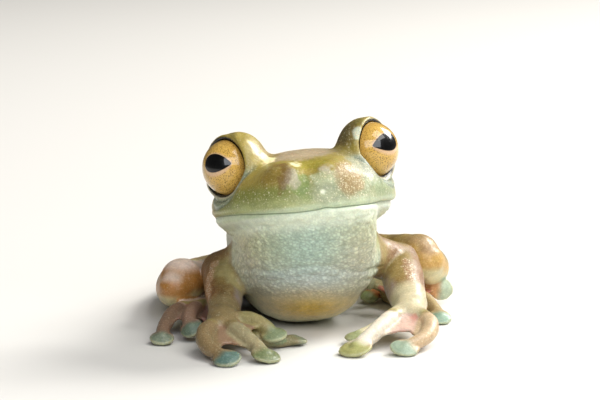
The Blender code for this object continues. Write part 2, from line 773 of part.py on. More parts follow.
def make_leg(side, body, arm):
    """Thigh, shank, tarsus and foot, folded beside the body."""
    thigh = limb_form("thigh", THIGH[side], 11)
    shank = limb_form("shank", SHANK[side], 11)
    tarsus = limb_form("tarsus", TARSUS[side], 7)
    sole = limb_form("foot", SOLE[side], 7)
    foot, _ = spread_hand("toe", sole, TOES[side], FOOT_WEB_REACH)
    nodes = (
        ("thigh", clear_of(thigh(), [*body, *arm]), SKIN_LEG),
        ("shank", clear_of(shank(), [*body, thigh]), SKIN_LEG),
        ("tarsus", clear_of(tarsus(), [*body, thigh, shank]), SKIN_LEG),
        ("foot", clear_of(foot, [*body, thigh, shank, tarsus, *arm]), SKIN_HAND),
    )
    for name, node, finish in nodes:
        finish_node(keep_largest(stand_on_floor(node)), f"{name}_{side}", finish)


def main():
    clear_scene()
    eyes = make_pair("eye", eye_form, EYE_GOLD)
    ears = make_pair("eardrum", ear_form, EAR_SKIN)
    head_nodes = make_head(eyes + ears)
    head_hull = partial(hull_of, head_nodes)
    make_torso([head_hull, *ears])
    body = [torso_form, head_hull]
    for side in SIDES:
        arm = make_arm(side, body)
        make_leg(side, [torso_form], arm)
    hand_over()


main()
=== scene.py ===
import math
from functools import partial

import bpy
import numpy as np
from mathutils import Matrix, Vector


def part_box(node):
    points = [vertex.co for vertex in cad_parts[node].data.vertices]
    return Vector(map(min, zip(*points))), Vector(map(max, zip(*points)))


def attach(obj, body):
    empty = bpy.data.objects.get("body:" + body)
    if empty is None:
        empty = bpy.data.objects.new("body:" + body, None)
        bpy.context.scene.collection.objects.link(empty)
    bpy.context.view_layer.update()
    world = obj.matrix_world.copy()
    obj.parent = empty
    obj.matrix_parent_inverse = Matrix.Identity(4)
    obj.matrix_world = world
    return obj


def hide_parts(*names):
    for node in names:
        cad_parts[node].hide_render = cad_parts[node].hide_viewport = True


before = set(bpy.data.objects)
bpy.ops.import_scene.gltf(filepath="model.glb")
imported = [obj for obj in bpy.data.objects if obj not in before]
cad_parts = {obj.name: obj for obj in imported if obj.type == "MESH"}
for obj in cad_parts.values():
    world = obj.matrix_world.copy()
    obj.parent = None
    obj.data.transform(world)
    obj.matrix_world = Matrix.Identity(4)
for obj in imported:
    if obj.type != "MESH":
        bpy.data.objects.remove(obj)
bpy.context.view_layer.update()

import openvdb
from mathutils import Matrix, Vector

mm = 0.001

# Sizes are in millimetres in the frog's own frame: x to its left, y to its back, z up from the floor.
# The frog faces -y. The frame's origin is found from a CAD eye, so the skin follows the CAD model.

headSpec = {
    "centre": (0.05, -4.75, 16.75),
    "yaw": 4.0,
    "pitch": 10.0,
    "roll": 6.5,
    "back": -9.6,
    "tip": 8.95,
    "widestAt": -3.0,
    "halfWidth": 8.72,
    "cheek": -3.9,
    "sidePower": 0.92,
    # (ahead, height) of the crown and of the chin
    "crown": ((-9.6, -1.5), (-6.5, -0.1), (-3.0, 0.6), (0.0, 0.8), (3.0, 0.4),
              (5.0, -0.3), (7.0, -1.17), (8.0, -1.95), (8.6, -2.75), (8.95, -3.9)),
    "chin": ((-9.6, -7.6), (-6.5, -8.4), (-3.0, -8.0), (0.0, -7.4), (3.0, -7.0),
             (5.0, -6.7), (7.0, -6.3), (8.0, -5.9), (8.6, -5.3), (8.95, -4.1)),
    "neckBlend": (0.8, 2.8),
    # side, place, radii and blend of the brows, the snout's sides and the nostril mounds
    "bumps": (
        (-1, (5.65, -0.2, -0.3), (2.7, 3.7, 3.5), 1.0),
        (1, (6.15, -0.2, -0.35), (2.5, 3.7, 3.4), 1.0),
        (-1, (2.2, 5.6, -2.4), (2.3, 2.9, 1.9), 1.2),
        (1, (2.2, 5.6, -2.4), (2.3, 2.9, 1.9), 1.2),
        (-1, (1.6, 7.2, -2.05), (0.8, 0.9, 0.75), 0.7),
        (1, (1.6, 7.2, -2.05), (0.8, 0.9, 0.75), 0.7),
    ),
    "nostril": (1.65, 7.5, -1.72),
    "nostrilRadius": 0.26,
    "foldRun": ((-3.0, 0.0), (-4.2, -0.5), (-5.6, -1.5), (-6.8, -3.2), (-7.4, -5.0)),
    "ear": (7.75, -3.9, -2.3),
    "earRadius": 1.15,
    "mouthLevel": -5.1,
    "mouthCorner": -3.6,
}

eyeSpec = {
    "spread": 6.68,
    "radius": 2.68,
    "azimuth": 54.0,
    "dip": 2.0,
    "lidCone": 85.0,
    "lidStretch": 1.07,
    "lidThickness": 0.25,
    "lidSlope": (0.75, 0.45),
    "lidRaise": 15.0,
    "pupilAzimuth": 31.5,
    "pupilRise": 11.0,
}

torsoSpec = {
    # (along, floor side, back side, half width)
    "sections": (
        (-13.3, 11.6, 13.2, 1.4), (-12.8, 10.4, 13.8, 3.3), (-11.8, 8.8, 14.4, 4.8),
        (-10.3, 6.9, 14.9, 5.85), (-8.6, 4.8, 15.2, 6.15), (-6.8, 3.0, 15.4, 6.35),
        (-4.8, 1.6, 15.5, 6.45), (-2.5, 0.7, 15.6, 6.5), (0.5, 0.1, 15.6, 6.6),
        (4.0, -0.15, 15.3, 6.6), (8.0, -0.15, 14.7, 6.5), (12.0, -0.1, 13.8, 6.0),
        (16.0, 0.2, 12.2, 5.0), (20.0, 0.8, 10.0, 4.3), (23.5, 1.5, 7.9, 3.7),
        (26.0, 2.1, 6.2, 2.8), (27.4, 2.7, 5.1, 1.5), (27.9, 3.2, 4.5, 0.7),
    ),
    "spineX": 0.35,
    "spineDrift": -0.105,
    "roll": 4.0,
    "widest": ((-13.3, 0.66), (-9.0, 0.58), (0.0, 0.5), (16.0, 0.45), (28.0, 0.5)),
    "bellySquareness": 2.5,
    # place, radii and blend of the breast, shoulder and hip muscles
    "muscles": (
        ((4.2, -3.0, 7.2), (2.8, 3.6, 2.8), 1.4),
        ((-3.8, -2.6, 6.4), (2.5, 3.4, 2.6), 1.3),
        ((1.0, 21.6, 5.6), (2.5, 4.2, 2.5), 1.5),
        ((-4.3, 20.8, 4.3), (2.4, 4.2, 2.4), 1.5),
    ),
}

# Limbs: runs of (point, radius). Digits: bone line, radii at its ends, disc's centre, radius and facing.
armSpec = {
    "right": {
        "upper": (((-3.6, -2.4, 6.7), 2.2), ((-6.2, -0.7, 5.85), 1.85), ((-7.7, 1.1, 5.0), 1.75)),
        "fore": (((-7.8, 0.9, 4.9), 1.65), ((-7.4, -2.4, 4.4), 1.85), ((-7.2, -5.4, 3.4), 1.7),
                 ((-7.1, -8.4, 2.5), 1.45)),
        "palm": (((-7.3, -8.6, 2.4), 1.35), ((-7.1, -10.4, 2.1), 1.6), ((-6.9, -11.7, 1.9), 1.4)),
        "digits": (
            (((-6.1, -11.2, 1.4), (-4.2, -12.2, 0.95), (-2.2, -11.9, 0.7)),
             (0.75, 0.48), (-0.5, -10.6, 0.5), 1.2, (0.1, 0.1, 1.0)),
            (((-6.2, -11.0, 2.4), (-4.7, -11.5, 2.6), (-3.3, -12.3, 2.2)),
             (0.9, 0.55), (-2.4, -13.0, 1.5), 1.25, (-0.1, -0.3, 1.0)),
            (((-6.7, -12.2, 2.1), (-5.6, -14.2, 1.9), (-4.2, -16.2, 1.25)),
             (0.95, 0.6), (-3.1, -17.7, 0.58), 1.42, (0.2, -0.22, 1.0)),
            (((-7.5, -12.0, 2.1), (-8.7, -14.0, 1.9), (-8.5, -16.6, 1.2)),
             (0.95, 0.58), (-6.6, -19.0, 0.6), 1.36, (-0.1, -0.35, 1.0)),
        ),
    },
    "left": {
        "upper": (((4.0, -2.6, 7.6), 2.4), ((7.2, -0.2, 6.6), 1.95), ((9.7, 2.4, 5.6), 1.8)),
        "fore": (((9.8, 2.1, 5.5), 1.75), ((9.9, -0.4, 4.7), 2.0), ((10.1, -2.8, 3.8), 1.9),
                 ((10.5, -5.0, 2.9), 1.6)),
        "palm": (((10.6, -5.2, 2.8), 1.4), ((10.3, -6.8, 2.4), 1.6), ((10.1, -8.1, 2.2), 1.45)),
        "digits": (
            (((9.9, -6.6, 1.6), (8.9, -5.9, 1.0)),
             (0.75, 0.5), (7.5, -5.6, 0.55), 1.05, (0.0, 0.0, 1.0)),
            (((9.5, -7.6, 2.1), (8.2, -8.1, 1.5), (6.8, -8.8, 1.0)),
             (0.9, 0.55), (5.4, -9.9, 0.7), 1.25, (-0.1, -0.1, 1.0)),
            (((9.4, -8.4, 2.5), (8.1, -10.6, 2.2), (6.5, -13.0, 1.35)),
             (0.95, 0.66), (5.1, -14.8, 0.62), 1.62, (-0.2, -0.25, 1.0)),
            (((10.9, -8.6, 2.4), (12.1, -10.6, 2.0), (11.5, -12.9, 1.2)),
             (0.95, 0.58), (9.6, -14.6, 0.6), 1.4, (0.1, -0.35, 1.0)),
        ),
    },
    "webReach": {"right": (0.45, 0.70, 0.9), "left": (0.40, 0.60, 0.76)},
    "discThickness": 0.4,
    "shoulderBlend": {"right": 1.6, "left": 3.2},
}

legSpec = {
    "right": {
        "thigh": (((-3.4, 22.0, 3.5), 2.6), ((-6.4, 14.5, 2.55), 2.3), ((-9.2, 7.6, 2.9), 1.95),
                  ((-10.7, 4.0, 3.3), 2.0), ((-11.5, 1.7, 3.8), 2.2)),
        "shank": (((-12.1, 0.5, 3.2), 1.65), ((-12.5, 4.8, 2.4), 1.7), ((-12.4, 10.0, 2.2), 1.75),
                  ((-11.2, 16.4, 1.9), 1.35), ((-8.8, 23.0, 1.6), 1.1)),
        "tarsus": (((-8.4, 23.8, 1.5), 1.1), ((-8.7, 18.0, 1.3), 0.95), ((-8.9, 12.4, 1.3), 1.1)),
        "palm": (((-8.9, 12.0, 1.25), 1.05), ((-8.9, 7.0, 1.2), 1.2), ((-8.9, 2.2, 1.15), 1.35)),
        "digits": (
            (((-8.0, 3.0, 1.0), (-6.8, 1.2, 0.8)),
             (0.55, 0.42), (-5.9, -0.4, 0.5), 0.9, (0.0, 0.0, 1.0)),
            (((-8.3, 1.6, 1.0), (-7.4, -0.4, 0.9), (-6.8, -2.2, 0.75)),
             (0.6, 0.45), (-6.1, -3.8, 0.5), 0.95, (0.0, 0.0, 1.0)),
            (((-8.8, 1.2, 1.1), (-8.7, -1.6, 1.1), (-8.5, -4.2, 0.85)),
             (0.7, 0.5), (-8.2, -6.2, 0.5), 1.05, (0.0, 0.0, 1.0)),
            (((-9.3, 1.2, 1.3), (-10.2, -3.2, 1.9), (-10.5, -6.6, 1.7)),
             (0.8, 0.6), (-10.2, -8.8, 1.25), 1.15, (-0.5, -0.7, 1.0)),
            (((-9.8, 2.0, 1.2), (-11.9, -2.8, 1.7), (-12.8, -7.2, 1.1)),
             (0.8, 0.6), (-12.9, -10.1, 0.55), 1.2, (0.0, -0.3, 1.0)),
        ),
    },
    "left": {
        "thigh": (((0.8, 22.2, 4.8), 2.7), ((4.4, 17.6, 4.4), 2.5), ((7.6, 13.2, 4.3), 2.2),
                  ((10.2, 9.8, 5.05), 1.95), ((11.9, 7.2, 5.55), 1.9)),
        "shank": (((12.5, 6.3, 4.9), 1.75), ((13.1, 9.6, 3.7), 1.85), ((12.8, 14.0, 2.7), 1.8),
                  ((11.0, 19.6, 2.2), 1.4), ((7.8, 25.6, 1.8), 1.15)),
        "tarsus": (((7.2, 26.2, 1.6), 1.15), ((7.6, 20.6, 1.3), 1.0), ((8.3, 16.0, 1.3), 1.1)),
        "palm": (((8.4, 15.6, 1.25), 1.05), ((8.9, 12.4, 1.2), 1.2), ((9.4, 9.4, 1.2), 1.3)),
        "digits": (
            (((8.6, 11.2, 1.1), (7.9, 10.4, 1.0)),
             (0.55, 0.45), (7.0, 9.4, 0.75), 0.95, (0.0, -0.5, 1.0)),
            (((8.9, 9.2, 1.6), (7.8, 7.9, 2.2)),
             (0.6, 0.5), (6.8, 6.5, 2.8), 0.9, (1.0, -0.1, 0.3)),
            (((9.5, 8.6, 1.1), (10.4, 4.6, 1.2), (10.8, 1.8, 0.85)),
             (0.7, 0.5), (10.9, 0.0, 0.5), 1.05, (0.0, 0.0, 1.0)),
            (((10.1, 9.0, 1.2), (12.2, 5.0, 1.4), (13.2, 1.8, 0.95)),
             (0.75, 0.55), (13.6, -0.4, 0.55), 1.15, (0.1, -0.4, 1.0)),
            (((10.3, 10.0, 1.3), (12.0, 9.8, 1.6)),
             (0.75, 0.6), (14.2, 8.9, 1.55), 1.15, (0.1, -1.0, 0.25)),
        ),
    },
    "webReach": {"right": (0.6, 0.8, 0.85, 0.85), "left": (0.6, 0.8, 0.85, 0.85)},
    "discThickness": 0.4,
    "hipBlend": 2.0,
}

claySpec = {
    "low": (-17.0, -23.0, -0.6),
    "high": (17.0, 30.0, 22.0),
    "step": 0.13,
    "far": 3.0,
}


def smoothStep(low, high, value):
    t = np.clip((value - low) / (high - low), 0, 1)
    return t * t * (3 - 2 * t)


def smoothTable(x, table):
    # cubic curve through (x, value) pairs
    xs, ys = np.array(table, float).T
    slopes = np.gradient(ys, xs)
    x = np.clip(x, xs[0], xs[-1])
    i = np.clip(np.searchsorted(xs, x) - 1, 0, len(xs) - 2)
    span = xs[i + 1] - xs[i]
    t = (x - xs[i]) / span
    a = (2 * t**3 - 3 * t**2 + 1) * ys[i] + (t**3 - 2 * t**2 + t) * span * slopes[i]
    return a + (-2 * t**3 + 3 * t**2) * ys[i + 1] + (t**3 - t**2) * span * slopes[i + 1]


def catmull(rows, t):
    # point at t, 0 to 1, on the smooth curve through the rows
    rows = np.asarray(rows, float)
    spans = len(rows) - 1
    place = min(t * spans, spans - 1e-9)
    i = int(place)
    u = place - i
    b, c = rows[i], rows[i + 1]
    a = rows[i - 1] if i > 0 else 2 * b - c
    d = rows[i + 2] if i + 2 <= spans else 2 * c - b
    bend = (2 * a - 5 * b + 4 * c - d) * u * u
    return 0.5 * (2 * b + (c - a) * u + bend + (3 * b - a - 3 * c + d) * u**3)


def smoothMin(a, b, k):
    h = np.maximum(k - np.abs(a - b), 0)
    return np.minimum(a, b) - h * h / (4 * k)


def smoothMax(a, b, k):
    return -smoothMin(-a, -b, k)


def cellRandom(cells, seed):
    # a number from 0 to 1 for each whole-numbered cell
    mixed = cells[:, 0] * 73856093 + cells[:, 1] * 19349663 + cells[:, 2] * 83492791 + seed * 915488749
    mixed = (mixed ^ (mixed >> 13)) * 1274126177 & 0xFFFFFFFF
    mixed = (mixed ^ (mixed >> 16)) * 2246822519 & 0xFFFFFFFF
    return ((mixed ^ (mixed >> 13)) & 0xFFFFFF) / 0xFFFFFF


def softNoise(points, size, seed=0):
    # smooth random values from -1 to 1, with forms of about the given size
    place = points / size
    base = np.floor(place).astype(np.int64)
    t = place - base
    t = t * t * (3 - 2 * t)
    total = np.zeros(len(points))
    for corner in np.ndindex(2, 2, 2):
        weight = np.prod(np.where(corner, t, 1 - t), axis=1)
        total += weight * cellRandom(base + corner, seed)
    return 2 * total - 1


def granules(points, size, seed=0):
    # rounded grains of about the given size: height from 0 in the seams to 1, and a number for each grain
    place = points / size
    base = np.floor(place).astype(np.int64)
    first = np.full(len(points), 9.0)
    second, number = first.copy(), np.zeros(len(points))
    for step in np.ndindex(3, 3, 3):
        cell = base + np.array(step) - 1
        spot = cell + np.stack([cellRandom(cell, seed + k) for k in (1, 2, 3)], 1)
        gap = np.sqrt(((place - spot) ** 2).sum(1))
        closer = gap < first
        second = np.where(closer, first, np.minimum(second, gap))
        number = np.where(closer, cellRandom(cell, seed + 4), number)
        first = np.where(closer, gap, first)
    return smoothStep(0.0, 0.45, second - first), number


def turnToAxis(axis, near=(0, 1, 0)):
    # columns are the axes of a frame whose z is the axis and whose y stays near the given way
    z = np.array(axis, float) / np.linalg.norm(axis)
    x = np.cross(near, z)
    x /= np.linalg.norm(x)
    return np.column_stack((x, np.cross(z, x), z))


def findHeadTurn():
    yaw = Matrix.Rotation(math.radians(headSpec["yaw"]), 3, "Z")
    pitch = Matrix.Rotation(math.radians(-headSpec["pitch"]), 3, "X")
    roll = Matrix.Rotation(math.radians(-headSpec["roll"]), 3, "Y")
    return np.array(yaw @ pitch @ roll @ Matrix(((1, 0, 0), (0, -1, 0), (0, 0, 1))))


headTurn = findHeadTurn()
headCentre = np.array(headSpec["centre"])


def onHead(spots):
    # (left, ahead, up) from between the eyes, as points of the frog's frame
    return np.asarray(spots) @ headTurn.T + headCentre


def toHead(x, y, z):
    away = (x - headCentre[0], y - headCentre[1], z - headCentre[2])
    return [sum(headTurn[i, j] * away[i] for i in range(3)) for j in range(3)]


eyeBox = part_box("eye_left")
eyeMiddle = np.array([(low + high) / 2 for low, high in zip(*eyeBox)]) / mm
modelOrigin = onHead((eyeSpec["spread"], 0, 0)) - eyeMiddle


def toModel(spots):
    # millimetres of the frog's frame to metres of the CAD frame
    return (np.asarray(spots) - modelOrigin) * mm


class Ball:
    # ellipsoid, with its own axes as the columns of turn
    def __init__(self, centre, radii, turn=np.eye(3)):
        self.centre, self.radii, self.turn = np.array(centre, float), radii, turn

    def parts(self):
        reach = max(self.radii)
        yield self.centre - reach, self.centre + reach, self.distance

    def distance(self, x, y, z):
        away = (x - self.centre[0], y - self.centre[1], z - self.centre[2])
        near = far = 0
        for j, r in enumerate(self.radii):
            a = sum(self.turn[i, j] * away[i] for i in range(3)) / r
            near, far = near + a * a, far + a * a / (r * r)
        near = np.sqrt(near)
        return near * (near - 1) / np.sqrt(np.maximum(far, 1e-9))


def capsule(a, ra, b, rb, x, y, z):
    # round-ended rod from a to b with a changing radius
    ab = b - a
    t = sum((c - a[i]) * ab[i] for i, c in enumerate((x, y, z))) / max(ab @ ab, 1e-9)
    t = np.clip(t, 0, 1)
    gap = sum((c - a[i] - ab[i] * t) ** 2 for i, c in enumerate((x, y, z)))
    return np.sqrt(gap) - (ra + (rb - ra) * t)


class Chain:
    # limb: rods along the smooth curve through (point, radius) pairs
    def __init__(self, stations, count=24):
        rows = [(*point, radius) for point, radius in stations]
        self.beads = np.array([catmull(rows, i / count) for i in range(count + 1)])

    def parts(self):
        for a, b in zip(self.beads, self.beads[1:]):
            reach = max(a[3], b[3])
            low, high = np.minimum(a[:3], b[:3]) - reach, np.maximum(a[:3], b[:3]) + reach
            yield low, high, partial(capsule, a[:3], a[3], b[:3], b[3])

    def distance(self, x, y, z):
        return np.minimum.reduce([form(x, y, z) for _, _, form in self.parts()])


class Web(Chain):
    # thin skin between two digits: rods from one to the other, hollow at the free edge
    def __init__(self, first, second, reach, spacing=0.18, thick=(0.42, 0.16), hollow=0.35, rods=5):
        self.runs, self.radii = [], []
        lines = [np.array([*digit[0], digit[2]]) for digit in (first, second)]
        longest = max(np.linalg.norm(np.diff(line, axis=0), axis=1).sum() for line in lines)
        count = int(math.ceil(longest * reach / spacing))
        for i in range(count + 1):
            row = []
            for j in range(rods + 1):
                t = j / rods
                u = reach * (1 - hollow * math.sin(math.pi * t)) * i / count
                a, b = (catmull(line, u) for line in lines)
                row.append(a + (b - a) * t)
            self.runs.append(np.array(row))
            self.radii.append(thick[0] + (thick[1] - thick[0]) * min(1.0, 1.6 * i / count))

    def parts(self):
        for row, r in zip(self.runs, self.radii):
            for a, b in zip(row, row[1:]):
                yield np.minimum(a, b) - r, np.maximum(a, b) + r, partial(capsule, a, r, b, r)


class Clay:
    # block of distances from the skin's surface, inside less than zero
    def __init__(self, spec):
        self.step, self.far = spec["step"], spec["far"]
        self.low = np.array(spec["low"])
        self.size = [int(math.ceil((h - l) / self.step)) + 1 for l, h in zip(spec["low"], spec["high"])]
        self.field = np.full(self.size, self.far, np.float32)

    def window(self, low, high, pad=0.0):
        first = [max(0, int((l - pad - o) / self.step)) for l, o in zip(low, self.low)]
        last = [min(n, int((h + pad - o) / self.step) + 2) for h, o, n in zip(high, self.low, self.size)]
        axes = [self.low[i] + self.step * np.arange(first[i], last[i]) for i in range(3)]
        grid = np.meshgrid(*[a.astype(np.float32) for a in axes], indexing="ij", sparse=True)
        return tuple(slice(a, b) for a, b in zip(first, last)), grid

    def measure(self, form, pad):
        # the form's own distances, in the window round it
        parts = list(form.parts())
        low = np.min([p[0] for p in parts], axis=0)
        high = np.max([p[1] for p in parts], axis=0)
        cells, _ = self.window(low, high, pad)
        own = np.full([c.stop - c.start for c in cells], self.far, np.float32)
        for low, high, distance in parts:
            spot, grid = self.window(low, high, pad)
            inner = tuple(slice(max(s.start, c.start) - c.start, s.stop - c.start)
                          for s, c in zip(spot, cells))
            own[inner] = np.minimum(own[inner], distance(*grid))
        return cells, own

    def add(self, form, blend):
        cells, own = self.measure(form, float(blend) + 4 * self.step)
        self.field[cells] = smoothMin(self.field[cells], own, blend)

    def loftField(self, rings):
        # solid lofted over rings of equal count, closed by a fan at each end
        rings = np.array(rings)
        count, around = rings.shape[:2]
        points = np.vstack((rings.reshape(-1, 3), rings[0].mean(0)[None], rings[-1].mean(0)[None]))
        i, j = np.meshgrid(np.arange(count - 1), np.arange(around), indexing="ij")
        a, b = i * around + j, i * around + (j + 1) % around
        quads = np.stack((a, b, b + around, a + around), -1).reshape(-1, 4)
        k = np.arange(around)
        caps = [np.stack((k, np.full(around, len(points) - 2), (k + 1) % around), -1)]
        top = (count - 1) * around
        caps.append(np.stack((top + k, top + (k + 1) % around, np.full(around, len(points) - 1)), -1))
        grid = openvdb.FloatGrid.createLevelSetFromPolygons(
            (points - self.low).astype(np.float32), triangles=np.vstack(caps).astype(np.int32),
            quads=quads.astype(np.int32), transform=openvdb.createLinearTransform(voxelSize=self.step),
            halfWidth=self.far / self.step)
        own = np.empty(self.size, np.float32)
        grid.copyToArray(own)
        return own

    def cut(self, cells, distance, blend):
        self.field[cells] = smoothMax(self.field[cells], -distance, blend)

    def mesh(self):
        grid = openvdb.FloatGrid(background=self.far)
        grid.transform = openvdb.createLinearTransform(voxelSize=self.step)
        grid.copyFromArray(self.field)
        points, quads = grid.convertToQuads()
        return points + self.low, quads


def headHalf(ahead):
    spec = headSpec
    reach = (ahead - spec["widestAt"]) / (spec["tip"] - spec["widestAt"])
    if reach > 0:
        return spec["halfWidth"] * math.sqrt(max(0.0, 1 - reach**2.2))
    return spec["halfWidth"] - 0.085 * (ahead - spec["widestAt"]) ** 2


def headSide(ahead, up):
    # half width of the head at a height above the cheek line
    rise = (up - headSpec["cheek"]) / (smoothTable(ahead, headSpec["crown"]) - headSpec["cheek"])
    return headHalf(ahead) * math.sqrt(max(0.0, 1 - rise * rise)) ** headSpec["sidePower"]


def headRings():
    spec = headSpec
    rings = []
    for s in np.linspace(0, 1, 90):
        ahead = spec["back"] + (spec["tip"] - spec["back"]) * math.sin(s * math.pi / 2 * 0.995)
        half = headHalf(ahead)
        angle = np.linspace(0, 2 * math.pi, 120, endpoint=False)
        across, rise = np.cos(angle), np.sin(angle)
        side = np.sign(across) * np.abs(across) ** spec["sidePower"] * half
        crown, chin = smoothTable(ahead, spec["crown"]), smoothTable(ahead, spec["chin"])
        up = spec["cheek"] + rise * np.where(rise > 0, crown - spec["cheek"], spec["cheek"] - chin)
        rings.append(onHead(np.stack((side, np.full_like(side, ahead), up), -1)))
    return rings


def torsoRings():
    spec = torsoSpec
    rows = np.array(spec["sections"])
    roll = np.array(Matrix.Rotation(math.radians(-spec["roll"]), 3, "Y"))
    rings = []
    for y in np.linspace(rows[0, 0], rows[-1, 0], 110):
        low, high, half = (smoothTable(y, rows[:, (0, i)]) for i in (1, 2, 3))
        middle = low + (high - low) * smoothTable(y, spec["widest"])
        angle = np.linspace(0, 2 * math.pi, 120, endpoint=False)
        across, rise = np.cos(angle), np.sin(angle)
        power = np.where(rise < 0, 2 / spec["bellySquareness"], 1.0)
        across = np.sign(across) * np.abs(across) ** power * half
        rise = np.sign(rise) * np.abs(rise) ** power * np.where(rise < 0, middle - low, high - middle)
        spots = np.stack((across, np.zeros_like(across), rise), -1) @ roll.T
        rings.append(spots + (spec["spineX"] + spec["spineDrift"] * (y + 3), y, middle))
    return rings


def eyeAxis(side, azimuth, rise):
    turn, rise = math.radians(azimuth), math.radians(rise)
    flat = math.cos(rise)
    return np.array((side * math.sin(turn) * flat, math.cos(turn) * flat, math.sin(rise)))


def eyePlace(side):
    # the ball's centre and the way its opening faces
    look = headTurn @ eyeAxis(side, eyeSpec["azimuth"], -eyeSpec["dip"])
    return onHead((side * eyeSpec["spread"], 0, 0)), look


def eyeMeasure(side, x, y, z):
    # height along the eye's gaze, width from it with the corners drawn out, and how far up the point lies
    centre, look = eyePlace(side)
    away = (x - centre[0], y - centre[1], z - centre[2])
    front = headTurn @ np.array((-side, 0.7, 0.0))
    front -= look * (front @ look)
    front /= np.linalg.norm(front)
    top = np.cross(look, front) * -side
    height, ahead, rise = (sum(away[i] * axis[i] for i in range(3)) for axis in (look, front, top))
    return height, np.sqrt((ahead / eyeSpec["lidStretch"]) ** 2 + rise * rise), rise


def shapeLids(clay):
    spec = eyeSpec
    for side in (-1, 1):
        centre, look = eyePlace(side)
        reach = spec["radius"] + 3.5
        clay.add(Ball(centre - look * 0.25, [spec["radius"] + 0.28] * 3), 0.6)
        cells, grid = clay.window(centre - reach, centre + reach)
        height, wide, rise = eyeMeasure(side, *grid)
        low = smoothStep(0.0, -0.8, rise / np.maximum(wide, 0.1))
        cone = np.radians(spec["lidCone"] - spec["lidRaise"] * low)
        start = spec["radius"] * np.cos(cone)
        rim = spec["radius"] * np.sin(cone) + 0.07
        below, above = spec["lidSlope"]
        slope = above + (below - above) * low
        plug = np.maximum(start - height, (wide - rim - slope * (height - start)) / np.hypot(1, slope))
        clay.cut(cells, plug, 0.5)
        ring = np.sqrt((wide - rim - 0.1) ** 2 + (height - start + 0.03) ** 2) - spec["lidThickness"]
        clay.field[cells] = smoothMin(clay.field[cells], ring, 0.25)
        ball = np.sqrt(sum((g - c) ** 2 for g, c in zip(grid, centre))) - spec["radius"] - 0.03
        clay.cut(cells, ball, 0.05)


def mouthLine(left):
    # the mouth's height, raised towards the right corner and notched near the middle
    lift = 0.5 * smoothStep(-1.0, -8.5, left) + 0.14 * np.exp(-(((left - 1.1) / 0.6) ** 2))
    return headSpec["mouthLevel"] + lift


def mouthDepth(left, ahead, up):
    # how deep the skin is carved along the mouth, less than zero on the lips
    spec = headSpec
    gap = up - mouthLine(left)
    here = smoothStep(spec["mouthCorner"] - 0.8, spec["mouthCorner"] + 0.6, ahead)
    depth = 0.24 * np.exp(-((gap / 0.17) ** 2))
    depth -= 0.10 * np.exp(-(((gap - 0.5) / 0.32) ** 2)) + 0.09 * np.exp(-(((gap + 0.6) / 0.45) ** 2))
    return depth * here


def shapeNostrils(clay):
    for side in (-1, 1):
        spot = onHead(np.array(headSpec["nostril"]) * (side, 1, 1))
        pit = Ball(spot, [headSpec["nostrilRadius"]] * 3)
        cells, own = clay.measure(pit, 1.0)
        clay.cut(cells, own, 0.25)


def earDepth(left, ahead, up):
    # flat drum inside a low ring, behind each eye
    spec = headSpec
    wide = np.sqrt((ahead - spec["ear"][1]) ** 2 + (up - spec["ear"][2]) ** 2) + 4.0 * (np.abs(left) < 5)
    depth = 0.14 * smoothStep(spec["earRadius"], spec["earRadius"] - 0.35, wide)
    return depth - 0.09 * np.exp(-(((wide - spec["earRadius"] - 0.1) / 0.22) ** 2))


class Zones:
    # where each point of the skin lies on the frog, for the fine forms and the colours
    def __init__(self, points, ways):
        self.points, self.ways = points, ways
        self.x, self.y, self.z = points.T
        self.left, self.ahead, self.up = toHead(*points.T)
        self.ragged = 0.3 * softNoise(points, 0.9, 3) + 0.26 * softNoise(points, 0.36, 4)
        self.armGap, self.legGap, self.digitGaps = {}, {}, {}
        for gaps, spec in ((self.armGap, armSpec), (self.legGap, legSpec)):
            for side in ("right", "left"):
                gaps[side] = np.minimum.reduce([self.gap(run) for run in self.runs(spec[side])])
                for i, digit in enumerate(spec[side]["digits"]):
                    line, radii, disc = digit[:3]
                    own = self.gap([(point, radii[0]) for point in (*line[1:], disc)], 6)
                    self.digitGaps[spec is armSpec, side, i] = own
                    gaps[side] = np.minimum(gaps[side], own)
        self.limbs = smoothStep(0.7, 0.1, np.minimum.reduce([*self.armGap.values(), *self.legGap.values()]))
        under = -0.75 * ways[:, 1] - 0.65 * ways[:, 2]
        low = smoothStep(-5.3, -5.9, self.up) * smoothStep(13.8, 12.8, self.z)
        self.belly = smoothStep(-0.2, 0.3, under) * low
        self.lipReach = smoothStep(headSpec["mouthCorner"] - 0.6, headSpec["mouthCorner"] + 0.6, self.ahead)
        self.head = smoothStep(-9.0, -6.0, self.ahead) * smoothStep(-5.9, -5.4, self.up) * (1 - self.limbs)

    def runs(self, limb):
        return [run for name, run in limb.items() if name != "digits"]

    def gap(self, run, count=8):
        return Chain(run, count).distance(*self.points.T)

    def patch(self, place, radii):
        # uneven spot about a place on the head, softer where it is larger
        soft = 0.08 + 0.22 * min(radii)
        away = [(v - c) / r for v, c, r in zip((self.left, self.ahead, self.up), place, radii)]
        gap = (np.sqrt(sum(a * a for a in away)) - 1) * min(radii)
        return smoothStep(soft, -soft, gap + self.ragged)

    def streak(self, line, radius, soft=0.2):
        # uneven band along a line in the frog's frame
        return smoothStep(soft, -soft, self.gap([(point, radius) for point in line], 6) + self.ragged)

    def eyeGap(self, side):
        # distance outside the eyeball
        away = (self.left - side * eyeSpec["spread"]) ** 2 + self.ahead**2 + self.up**2
        return np.sqrt(away) - eyeSpec["radius"]


